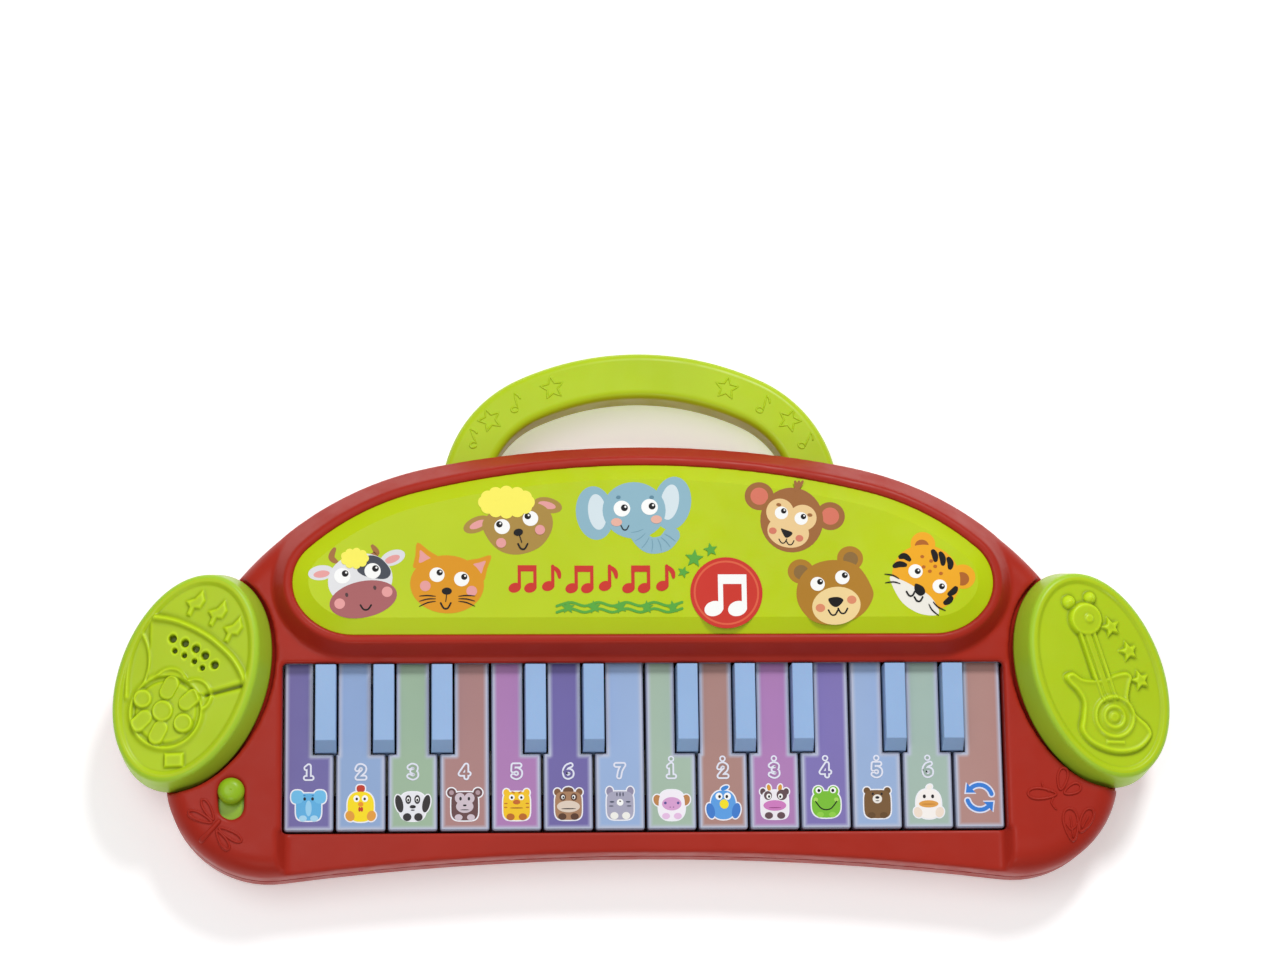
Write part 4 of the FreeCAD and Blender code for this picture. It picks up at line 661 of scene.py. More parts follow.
def tiger(art):
    fur = (240, 170, 30)
    for cx, cy in ((-0.6, 12.6), (13.6, 0.6)):
        ear(art, fur, (cx, cy, 4.5, 4.5), (176, 100, 36), (cx - 0.4, cy - 0.8, 2.6, 2.5))
    art.oval(fur, 0.2, 0.2, 12.6, 12.0, -38)
    art.blob((240, 236, 226), [(-13.0, 0.4), (-8.8, -0.6), (-4.6, -2.8), (1.2, -6.4), (4.4, -11.6),
        (3.0, -13.6), (-3.4, -12.6), (-9.4, -8.0)])
    for pts in (((-11.8, 4.2), (-9.4, 5.2), (-6.6, 4.8)), ((-9.6, 7.6), (-7.4, 8.2), (-5.2, 6.4)),
                ((2.6, 10.6), (3.6, 8.6), (3.8, 6.0)), ((5.4, 9.8), (6.4, 7.4), (6.4, 4.6)),
                ((8.2, 7.8), (9.2, 5.6), (8.8, 3.2)), ((11.2, -3.0), (10.0, -4.8), (7.8, -6.2)),
                ((9.4, -6.6), (8.2, -8.2), (6.2, -9.4))):
        art.brush(DARK, pts, 2.3)
    art.spots((186, 104, 34), ((-1.0, 8.0), (-0.6, 4.2), (1.6, 2.6), (3.6, 4.4), (2.2, 6.4),
        (5.6, 1.8)), 0.7, 0.6)
    eye(art, -3.6, 2.6, 2.6, (0.3, 0.0))
    eye(art, 5.0, -3.0, 2.6, (0.3, 0.0))
    art.blob(DARK, [(-3.8, -2.0), (-1.0, -3.2), (-0.4, -5.4), (-2.2, -6.4), (-4.0, -4.8)])
    smile(art, -5.6, -5.4, 1.5, 1.3)
    smile(art, -2.8, -7.4, 1.5, 1.3)
    for cx, cy, a in ((-9.6, -0.2, 150), (-9.2, -2.0, 165), (0.8, -9.4, -62), (2.4, -8.6, -48)):
        b = math.radians(a)
        art.brush(DARK, [(cx, cy), (cx + 2.6 * math.cos(b), cy + 2.6 * math.sin(b)),
            (cx + 5.6 * math.cos(b + 0.2), cy + 5.6 * math.sin(b + 0.2))], 0.5)


for name, draw, x, y in (("cow", cow, -101.4, 6.6), ("cat", cat, -71.0, 6.4),
        ("sheep", sheep, -46.6, 26.4), ("elephant", elephant, -3.6, 31.2),
        ("monkey", monkey, 53.6, 29.2), ("bear", bear, 68.2, 3.2), ("tiger", tiger, 101.4, 7.6)):
    picture = Art(x * PANEL_SCALE, y * PANEL_SCALE, PANEL_Z, scale=PANEL_SCALE)
    draw(picture)
    picture.finish("panel_" + name, "casing")


def note(art, rgb, x, y, size, double=False):
    """A filled music note, or two joined by a beam."""
    for hx in ((0.0, 1.7) if double else (0.0,)):
        art.oval(rgb, x + size * hx, y, 0.7 * size, 0.54 * size, 20)
        art.stroke(rgb, [(x + size * (hx + 0.5), y), (x + size * (hx + 0.5), y + 2.2 * size)],
                   0.36 * size)
    if double:
        art.fill(rgb, [(x + 0.32 * size, y + 1.8 * size), (x + 2.38 * size, y + 1.8 * size),
                       (x + 2.38 * size, y + 2.5 * size), (x + 0.32 * size, y + 2.5 * size)])
    else:
        art.brush(rgb, [(x + 0.5 * size, y + 2.2 * size), (x + 1.1 * size, y + 1.6 * size),
                        (x + 1.25 * size, y + 0.8 * size)], 0.5 * size)


motif = Art(-1.8, 1.6, PANEL_Z, scale=PANEL_SCALE)
CHERRY = (204, 52, 40)
LEAF = (88, 168, 62)
for x, y, twin in ((-45.0, 2.8, True), (-33.0, 3.4, False), (-24.6, 2.6, True),
                   (-12.6, 3.4, False), (-4.2, 2.6, True), (8.0, 3.4, False)):
    note(motif, CHERRY, x, y, 3.3, twin)
for shift in (0.0, -2.3):
    wave = [(-30.0 + 5.0 * k, -3.4 + shift + (0.8 if k % 2 else -0.5)) for k in range(10)]
    motif.stroke(LEAF, smooth_path(wave), 0.9)
for k in range(5):
    motif.fill(LEAF, star(-26.0 + 9.4 * k, -4.4, 2.5, 90 + 8 * (k % 3)))
motif.oval(CHERRY, 31.0, 0.8, 13.0, 13.0, steps=48)
motif.oval((222, 96, 66), 31.0, 0.8, 11.8, 11.8, steps=48)
motif.oval(CHERRY, 31.0, 0.8, 11.1, 11.1, steps=48)
note(motif, WHITE, 26.4, -5.0, 5.0, True)
for x, y, r, turn in ((19.6, 13.4, 3.4, 84), (25.6, 16.6, 2.6, 100), (15.6, 8.4, 2.2, 70)):
    motif.fill(LEAF, star(x, y, r, turn))
motif.finish("panel_motif", "casing")


# ---- labels on the white keys -------------------------------------------

LABEL_INSET = 0.6                # from the edges of the key
NOTCH_INSET = 1.05               # from the raised keys beside it
VISIBLE_LENGTH = 60.1
EDGE_HIGHLIGHT_STEPS = (0.0, 0.35, 0.8, 1.5)     # steps of the painted edge highlight, inward from the edge
# painted highlight colour along the edges of the key
EDGE_HIGHLIGHT_COLOUR = (188, 194, 214)
KEY_COLOURS = ((115, 107, 166), (145, 170, 210), (158, 183, 157), (172, 130, 128), (174, 125, 180),
    (114, 104, 166), (154, 179, 219), (165, 187, 169), (173, 133, 126), (175, 126, 181),
    (128, 116, 180), (154, 178, 216), (166, 188, 177), (179, 138, 132))
black_boxes = [box_mm(name) for name in sorted(NODES) if name.startswith("black_key")]


def mix(a, b, t):
    return tuple(p + (q - p) * t for p, q in zip(a, b))


def key_label(number):
    """A thin sticker cut around the black keys; its colour fades to a painted highlight along the
    edges.
    """
    node = "white_key_%02d" % number
    low, high = box_mm(node)
    x0, x1 = low.x + LABEL_INSET, high.x - LABEL_INSET
    y0, y1 = low.y + LABEL_INSET, low.y + VISIBLE_LENGTH
    cuts = []
    for b_low, b_high in black_boxes:
        if b_high.x + NOTCH_INSET > x0 and b_low.x - NOTCH_INSET < x1:
            cuts.append((b_low.x - NOTCH_INSET, b_high.x + NOTCH_INSET, b_low.y - NOTCH_INSET))

    def inside(x, y):
        if not (x0 < x < x1 and y0 < y < y1):
            return False
        return not any(a < x < b and y > c for a, b, c in cuts)

    xs = {x0 + g for g in EDGE_HIGHLIGHT_STEPS} | {x1 - g for g in EDGE_HIGHLIGHT_STEPS} | {0.5 * (x0 + x1)}
    ys = {y0 + g for g in EDGE_HIGHLIGHT_STEPS} | {y1} | set(np.linspace(y0 + 6, y1 - 4, 9))
    for a, b, c in cuts:
        xs |= {v for g in EDGE_HIGHLIGHT_STEPS for v in (a - g, b + g) if x0 < v < x1}
        ys |= {c - g for g in EDGE_HIGHLIGHT_STEPS}
    xs, ys = sorted(xs), sorted(ys)
    walls = [((x0, y0), (x1, y0)), ((x0, y0), (x0, y1)), ((x1, y0), (x1, y1))]
    for a, b, c in cuts:
        left, right = max(a, x0), min(b, x1)
        walls += [((left, c), (right, c)), ((left, c), (left, y1)), ((right, c), (right, y1))]

    # painted highlight: the label colour turns paler towards the edges
    def tint(x, y):
        d = EDGE_HIGHLIGHT_STEPS[-1]
        for (px, py), (qx, qy) in walls:
            dx = max(min(px, qx) - x, 0, x - max(px, qx))
            dy = max(min(py, qy) - y, 0, y - max(py, qy))
            d = min(d, math.hypot(dx, dy))
        t = d / EDGE_HIGHLIGHT_STEPS[-1]
        return mix(EDGE_HIGHLIGHT_COLOUR, KEY_COLOURS[number - 1], t * t * (3 - 2 * t))

    top, bottom = high.z + 0.03, high.z - 0.04
    verts, faces, colours, index = [], [], [], {}

    def vert(i, j, up):
        key = (i, j, up)
        if key not in index:
            index[key] = len(verts)
            verts.append((xs[i], ys[j], top if up else bottom))
            colours.append(linear(tint(xs[i], ys[j])))
        return index[key]

    kept = {(i, j) for i in range(len(xs) - 1) for j in range(len(ys) - 1)
            if inside(0.5 * (xs[i] + xs[i + 1]), 0.5 * (ys[j] + ys[j + 1]))}
    for i, j in kept:
        ring = ((i, j), (i + 1, j), (i + 1, j + 1), (i, j + 1))
        faces.append([vert(*p, True) for p in ring])
        faces.append([vert(*p, False) for p in reversed(ring)])
        for k, neighbour in enumerate(((i, j - 1), (i + 1, j), (i, j + 1), (i - 1, j))):
            if neighbour not in kept:
                p, q = ring[k], ring[(k + 1) % 4]
                faces.append([vert(*p, True), vert(*p, False), vert(*q, False), vert(*q, True)])
    build(node + "_label", verts, faces, PRINT_AND_EDGE_HIGHLIGHT, node + "_body", False, colours)
    return 0.5 * (low.x + high.x), low.y, top


def soft_box(cx, cy, w, h, turn=0.0, power=0.62):
    """Closed rounded box or oval outline."""
    box = []
    for t in full_turn(32):
        c, s = math.cos(t), math.sin(t)
        box.append((0.5 * w * math.copysign(abs(c) ** power, c),
                    0.5 * h * math.copysign(abs(s) ** power, s)))
    return turned(box, cx, cy, turn)


def twice(rgb, x, y, w, h, turn=0.0, power=1.0):
    """The same spot left and right."""
    return [(rgb, -x, y, w, h, -turn, power), (rgb, x, y, w, h, turn, power)]


def body_of(rgb, w=9.6, h=10.2, power=0.5):
    return [(rgb, 0.0, -0.9, w, h, 0.0, power)]


def dot(rgb, x, y, w, h, turn=0.0, power=1.0):
    return [(rgb, x, y, w, h, turn, power)]


INKY = (34, 30, 34)
SMALL_ANIMALS = (
    # silhouette with a white edge, then spots on top of it
    (body_of((96, 176, 226), 9.0, 9.8) + twice((112, 190, 234), 4.0, 2.7, 4.4, 4.8, 0, 0.8),
     twice(INKY, 1.4, 2.0, 1.0, 1.2) + dot((152, 208, 240), 0.0, -1.4, 2.2, 5.6)
     + twice((168, 214, 240), 2.0, -5.0, 2.8, 2.2) + twice((60, 130, 190), 1.5, 3.2, 0.9, 0.3)),
    (dot((196, 62, 44), 0.0, 5.6, 3.0, 2.6, 0, 0.8) + body_of((250, 222, 28), 9.4, 10.8, 0.78)
     + twice((228, 158, 62), 3.8, -4.2, 3.2, 3.8, -18),
     twice(WHITE, 1.5, 2.0, 2.2, 2.4) + twice(INKY, 1.4, 1.9, 0.9, 1.0)
     + dot((240, 150, 40), 0.0, 0.0, 1.9, 1.7) + twice((196, 62, 44), 0.4, -1.8, 0.9, 1.7)),
    (body_of((232, 232, 238), 9.2, 10.2, 0.7) + twice((52, 48, 50), 4.8, 0.1, 2.7, 6.4, -12),
     twice((52, 48, 50), 1.6, 1.6, 2.1, 3.2) + twice(WHITE, 1.6, 1.6, 1.1, 1.7)
     + twice(INKY, 1.6, 1.4, 0.7, 1.0) + dot(INKY, 0.0, -1.0, 2.2, 1.2)
     + dot(INKY, 0.0, -2.2, 1.4, 0.4) + twice((52, 48, 50), 2.0, -4.7, 3.0, 2.8)),
    (twice((104, 72, 74), 4.7, 4.0, 3.2, 3.2) + body_of((104, 72, 74)),
     twice((176, 148, 156), 4.7, 4.0, 1.7, 1.7) + twice((206, 190, 200), 1.7, 2.0, 3.6, 3.8)
     + dot((206, 190, 200), 0.0, -1.0, 6.2, 4.6) + twice(INKY, 1.5, 1.8, 0.9, 1.3)
     + dot(INKY, 0.0, -0.6, 1.3, 0.7) + dot(INKY, 0.0, -2.2, 3.2, 0.3)
     + twice((206, 190, 200), 2.2, -4.9, 2.8, 2.2)),
    (twice((242, 190, 36), 3.6, 3.9, 2.2, 2.6) + body_of((242, 196, 36)),
     twice((196, 120, 34), 3.8, 0.0, 1.3, 0.5) + twice((196, 120, 34), 3.9, -1.4, 1.3, 0.5)
     + twice((196, 120, 34), 1.2, 4.0, 1.4, 0.6, 24) + twice(WHITE, 1.7, 2.2, 2.0, 2.0)
     + twice(INKY, 1.7, 2.1, 0.9, 1.0) + dot((196, 104, 44), 0.0, 0.5, 2.6, 1.6)
     + dot((160, 90, 40), 0.0, -1.6, 4.6, 0.35) + twice((186, 106, 40), 2.2, -4.8, 2.9, 2.4)),
    (twice((128, 90, 62), 3.9, 4.0, 2.4, 2.6) + dot((110, 76, 54), 0.0, 4.4, 3.8, 2.8)
     + body_of((170, 128, 96)),
     twice((92, 62, 46), 2.0, 2.2, 2.3, 2.7) + twice(WHITE, 1.9, 2.2, 1.2, 1.5)
     + twice(INKY, 1.8, 2.1, 0.7, 0.9) + dot((224, 206, 190), 0.0, -1.2, 8.2, 4.2)
     + dot(INKY, 0.0, -2.0, 5.4, 0.4) + twice((92, 62, 46), 2.2, -4.8, 2.9, 2.4)),
    (twice((146, 140, 168), 3.7, 4.2, 2.4, 3.2) + body_of((170, 168, 190)),
     dot((80, 84, 104), -1.1, 3.1, 0.5, 1.5) + dot((80, 84, 104), 0.0, 3.1, 0.5, 1.7)
     + dot((80, 84, 104), 1.1, 3.1, 0.5, 1.5) + twice((80, 84, 104), 2.9, 0.4, 1.7, 0.6)
     + dot(WHITE, 0.0, 0.2, 2.4, 2.4) + dot(INKY, 0.0, 0.6, 0.7, 0.5)
     + twice((90, 92, 110), 3.2, -1.1, 1.7, 0.4) + twice((242, 240, 234), 2.1, -4.6, 2.9, 2.6)),
    (twice((190, 132, 80), 5.0, 0.9, 3.0, 4.0, -18) + body_of((244, 238, 246), 9.4, 10.8, 0.75),
     dot((216, 160, 208), 0.0, -0.4, 7.0, 4.8) + twice((96, 84, 150), 2.3, -0.1, 1.0, 1.0)
     + twice((150, 100, 150), 0.6, -1.6, 0.5, 0.4) + twice((230, 190, 226), 2.1, -4.8, 2.8, 2.2)),
    (dot((64, 134, 212), 0.6, 5.2, 3.0, 1.5, 24) + body_of((92, 158, 226), 9.0, 10.4, 0.85)
     + twice((66, 124, 204), 4.6, -3.0, 3.0, 5.6, -12),
     twice(WHITE, 1.5, 2.2, 2.5, 2.6) + twice(INKY, 1.3, 2.1, 1.0, 1.2)
     + dot((246, 226, 34), 0.3, -0.6, 3.2, 3.4, 20)),
    (twice((214, 150, 56), 2.0, 5.2, 1.4, 2.4, -12) + twice((96, 72, 78), 4.2, 3.8, 2.0, 2.4)
     + body_of((238, 234, 240)),
     dot((100, 76, 82), 2.6, 2.6, 3.8, 3.8) + dot((100, 76, 82), -2.4, 2.4, 2.9, 3.2)
     + twice(WHITE, 2.1, 2.1, 1.7, 1.9) + twice(INKY, 2.0, 2.0, 0.8, 1.0)
     + dot((206, 124, 190), 0.0, -1.2, 8.2, 3.8) + dot((150, 70, 130), 0.0, -2.0, 4.6, 0.35)
     + twice((100, 76, 82), 2.2, -4.8, 2.9, 2.4)),
    (twice((122, 190, 54), 2.7, 3.9, 3.6, 3.6) + body_of((122, 190, 54), 10.4, 9.6, 0.72),
     twice(WHITE, 2.6, 4.2, 2.2, 2.2) + twice(INKY, 2.5, 4.1, 1.1, 1.2)
     + twice((168, 214, 96), 3.7, 0.8, 1.6, 1.6) + twice((146, 206, 74), 2.2, -4.6, 2.6, 2.0)),
    (twice((112, 82, 50), 3.7, 4.0, 2.4, 2.4) + body_of((122, 90, 56)),
     twice(INKY, 1.6, 2.8, 0.8, 0.9) + dot((240, 234, 226), 0.0, 1.0, 3.4, 3.2)
     + dot(INKY, 0.0, 1.5, 1.5, 1.0) + dot(INKY, 0.0, 0.3, 1.5, 0.3)
     + twice((104, 76, 46), 2.2, -4.9, 2.8, 2.2)),
    (dot((246, 238, 232), 0.4, 5.2, 2.2, 1.6, 30) + body_of((248, 242, 238), 9.0, 10.6, 0.85)
     + twice((240, 222, 206), 3.9, -3.9, 3.0, 3.8, -18),
     twice(INKY, 1.5, 1.8, 1.1, 1.4) + dot((226, 160, 74), 0.0, -0.9, 7.0, 2.6)
     + dot((196, 126, 50), 0.0, -1.0, 5.2, 0.35)),
)
WHITE_EDGE = 0.9
ARROW_UP = 11.0                  # heights of the prints above the front edge of the key
ANIMAL_UP = 9.6
DIGIT_UP = 21.2
DIGIT_HEIGHT = 4.2
PRINT_EDGE = (226, 228, 242)


def arrow_ring(art, rgb, grow):
    """Two curved arrows that chase each other."""
    for start in (35, 215):
        arc = [(4.5 * math.cos(math.radians(a)), 4.5 * math.sin(math.radians(a)))
               for a in range(start - 20, start + 96, 8)]
        art.stroke(rgb, arc, 1.5 + 2 * grow)
        end = math.radians(start + 96)
        cx, cy = 4.5 * math.cos(end), 4.5 * math.sin(end)
        away = 2.3 + grow
        ahead = 2.6 + 1.4 * grow
        corner = [(cx + away * math.cos(end), cy + away * math.sin(end)),
                  (cx - away * math.cos(end), cy - away * math.sin(end)),
                  (cx - ahead * math.sin(end), cy + ahead * math.cos(end))]
        art.fill(rgb, corner)


for number in range(1, 15):
    x, front, z = key_label(number)
    node = "white_key_%02d" % number
    picture = Art(x, front + ANIMAL_UP, z - LAYER)
    if number == 14:
        picture.place = Art(x, front + ARROW_UP, z).place
        arrow_ring(picture, (222, 226, 244), 0.55)
        arrow_ring(picture, (58, 126, 214), 0.0)
    else:
        silhouette, spots = SMALL_ANIMALS[number - 1]
        for grow, shapes in ((WHITE_EDGE, silhouette), (0.0, silhouette), (0.0, spots)):
            for rgb, cx, cy, w, h, turn, power in shapes:
                picture.fill((240, 240, 246) if grow else rgb,
                             soft_box(cx, cy, w + grow, h + grow, turn, power))
        if number == 11:
            smile(picture, 0.0, -0.8, 3.8, 2.4, width=0.4)
        digit = str(number if number < 8 else number - 7)
        colour = mix(KEY_COLOURS[number - 1], (0, 0, 0), 0.06)
        picture.digit(PRINT_EDGE, digit, 0.0, DIGIT_UP - ANIMAL_UP, DIGIT_HEIGHT, 2.1)
        picture.digit(colour, digit, 0.0, DIGIT_UP - ANIMAL_UP, DIGIT_HEIGHT, 0.85)
        if number > 7:
            for rgb, r in ((PRINT_EDGE, 1.15), (colour, 0.6)):
                picture.fill(rgb, ellipse(0.0, DIGIT_UP - ANIMAL_UP + 4.2, r, r, steps=20))
    picture.finish(node + "_print", node + "_body")


# ---- moulded pads -------------------------------------------------------

# sizes of the CAD pads, in millimetres
PAD_HALF = (38.5, 25.0)          # half axes of the top
PAD_SKIRT = (40.5, 27.0)         # half axes at the lower edge
PAD_LEAN = math.radians(19.5)
PAD_DEPTH = 12.0
PAD_CENTRE = (164.0, -27.5, 38.0)
PAD_WALL = 2.2
STEM_RADIUS = 4.0
STEM_END = -20.0

RIM_WIDTH = 6.0                  # plain border around the relief
CORNER_ROUND = 2.2
FACE_DROP = 0.9                  # the face lies this far below the rim
RELIEF = 1.5                     # height of the figures relative to their drawing
FACE_RINGS = 78                  # rings of points on the relief face
RIM_RINGS = 22                   # and on the border around it
# the pad green comes from vertex colours that hold painted shade and highlight
MOULDED = surface("moulded_green", GREEN, rough=0.38, patch=0.04, grain=0.02, print_and_painted_light=True,
    scatter=0.06)


def near(points, path, closed=False):
    """Distance from every point to a path."""
    pts = np.array(path, float)
    if closed:
        pts = np.vstack([pts, pts[:1]])
    best = np.full(len(points), 1e9)
    for a, b in zip(pts[:-1], pts[1:]):
        d = b - a
        t = np.clip(((points - a) @ d) / max(d @ d, 1e-12), 0, 1)
        best = np.minimum(best, np.linalg.norm(points - a - t[:, None] * d, axis=1))
    return best


def signed(points, path):
    """Distance to a closed path, negative inside."""
    pts = np.array(path, float)
    x, y = points[:, 0], points[:, 1]
    inside = np.zeros(len(points), bool)
    for (ax, ay), (bx, by) in zip(pts, np.roll(pts, -1, 0)):
        if ay == by:
            continue
        cross = (ay > y) != (by > y)
        inside ^= cross & (x < (bx - ax) * (y - ay) / (by - ay) + ax)
    return np.where(inside, -1, 1) * near(points, path, True)


def ease(t):
    t = np.clip(t, 0, 1)
    return t * t * (3 - 2 * t)


def plateau(distance, soft=0.55):
    """1 inside a shape, 0 outside, with a soft edge."""
    return ease(0.5 - distance / (2 * soft))


def bead(distance, half):
    return np.exp(-(distance / half) ** 2)


def disc(p, x, y, r):
    return np.hypot(p[:, 0] - x, p[:, 1] - y) - r


def drum_height(p):
    """A fan of rays over a round drum with a flower on its skin."""
    h = np.zeros(len(p))
    rim = smooth_path([(-11.4, 22.4), (-4.0, 20.8), (2.8, 17.9), (8.4, 14.6), (12.8, 11.0),
        (17.2, 6.6), (20.2, 2.0), (22.0, -2.2)])
    fan = [(-13.0, 20.6)] + rim + [(20.4, -3.6), (14.0, -5.2), (7.0, -6.6), (-2.0, -4.0),
        (-13.6, -1.0), (-13.0, 8.0)]
    h += 0.45 * plateau(signed(p, fan), 0.5)
    h += 0.95 * bead(near(p, rim), 1.0)
    h += 0.55 * bead(near(p, smooth_path([(-16.4, 17.9), (-13.8, 12.0), (-13.2, 6.0), (-14.0, 1.4),
        (-15.2, -2.4)])), 0.55)
    h += 0.5 * bead(near(p, smooth_path([(-14.6, 21.6), (-18.6, 13.0), (-21.0, 3.0),
        (-21.4, -6.0)])), 0.8)
    for k in range(5):
        x, y = (-4.7, -0.2, 3.8, 7.2, 10.7)[k], (14.2, 12.4, 10.2, 7.6, 4.1)[k]
        h -= 1.5 * plateau(disc(p, x, y, 1.35), 0.3)
    for x, y in ((-3.9, 9.8), (-0.4, 8.0), (3.3, 5.7), (6.2, 3.2)):
        h -= 1.3 * plateau(disc(p, x, y, 0.9), 0.28)
    for x, y in ((3.7, 26.8), (11.8, 22.8), (17.5, 16.7)):
        bolt = [(x + 2.4, y + 4.4), (x + 3.3, y + 0.7), (x + 1.5, y - 2.0), (x - 0.6, y - 1.8),
                (x - 2.0, y - 4.6), (x - 3.4, y - 4.0), (x - 2.3, y - 1.4), (x - 3.6, y + 0.8),
                (x - 0.4, y + 1.6)]
        h += 0.6 * plateau(signed(p, bolt), 0.5)
    h -= 0.7 * bead(near(p, ((7.6, -6.4), (20.0, -3.6))), 0.8)
    drum = disc(p, -6.9, -12.0, 13.2)
    stand = np.maximum(np.abs(p[:, 0] + 3.7) - 3.4, np.abs(p[:, 1] + 29.4) - 2.4)
    h += 0.75 * plateau(stand, 0.5)
    inside = plateau(drum, 0.6)
    skin = 0.5 - 0.75 * bead(drum + 1.4, 0.8)
    for x, y, r in ((-7.9, -11.8, 3.9), (-15.2, -7.2, 3.4), (-0.4, -16.4, 3.5)):
        d = disc(p, x, y, r)
        skin = np.maximum(skin, 1.15 * plateau(d, 0.5) - 0.1 * plateau(d + 1.0, 0.4))
    for x, y, turn in ((-5.6, -3.6, 62), (1.8, -8.2, 40), (-15.6, -15.0, 44), (-9.4, -19.4, 62)):
        a = math.radians(turn)
        ends = ((x - 1.6 * math.cos(a), y - 1.6 * math.sin(a)),
                (x + 1.6 * math.cos(a), y + 1.6 * math.sin(a)))
        d = near(p, ends) - 2.9
        skin = np.maximum(skin, 0.95 * plateau(d, 0.45))
    h = h * (1 - inside) + skin * inside
    lobes = np.minimum(disc(p, -5.2, -2.6, 5.8), disc(p, 3.8, -6.6, 5.6))
    h += 0.5 * bead(lobes, 0.7) * (1 - inside)
    return h + 0.35 * bead(drum, 0.9)


def guitar_height(p):
    """A round headed guitar and three stars."""
    body = smooth_path([(-13.8, -1.0), (-12.6, -3.6), (-9.6, -6.6), (-7.6, -10.4), (-8.0, -15.6),
        (-8.6, -20.6), (-5.0, -25.2), (1.6, -28.0), (8.6, -28.4), (14.6, -26.4), (18.6, -21.8),
        (17.4, -18.0), (13.0, -14.0), (10.4, -9.0), (11.0, -4.2), (12.0, -0.6), (9.8, 1.2),
        (5.6, 0.4), (0.0, -1.6), (-6.6, -1.8), (-10.8, 0.4)], True)
    h = 0.95 * plateau(signed(p, body), 0.7)
    edge = near(p, body, True)
    h += 0.25 * bead(edge - 1.0, 0.7) * (signed(p, body) < 0)
    neck = [(-8.4, 15.6), (-2.0, 17.0), (6.4, -9.2), (0.0, -10.6)]
    n = signed(p, neck)
    lift = 1.25 * plateau(n, 0.5)
    along = ((-5.2, 16.2), (3.2, -9.8))
    shift = near(p, along)
    lift -= 0.5 * bead(shift - 1.5, 0.45) * (n < 0)
    h = np.maximum(h, lift)
    h = np.maximum(h, 1.45 * plateau(disc(p, -5.0, 20.0, 6.1), 0.8))
    h += 0.35 * plateau(disc(p, -4.2, 20.2, 1.5), 0.5)
    for x, y, r in ((-11.1, 26.2, 2.6), (-3.0, 28.0, 2.4)):
        d = disc(p, x, y, r)
        h = np.maximum(h, 1.6 * np.sqrt(np.clip(-d / r, 0, 1)))
    ring = disc(p, 4.3, -15.4, 0.0)
    h = np.where(ring < 8.4, np.maximum(h, 0.95), h)
    h += 0.6 * bead(ring - 7.2, 0.8) + 0.5 * bead(ring - 3.8, 0.8)
    h += 0.45 * plateau(ring - 1.8, 0.7)
    h = np.where(ring < 6.4, np.minimum(h, 2.2), h)
    h += 0.4 * plateau(np.maximum(np.abs(p[:, 0] - 4.4) - 3.4, np.abs(p[:, 1] + 24.6) - 0.5), 0.4)
    for x, y in ((4.7, 17.5), (11.2, 8.9), (15.3, -1.6)):
        h = np.maximum(h, 0.85 * plateau(signed(p, star(x, y, 3.7, 108, 0.5)), 0.45))
    return h


WALL_SHADE_TINT = (0.86, 1.0, 3.2, 1.0)   # painted shade: the side wall is tinted a cooler green
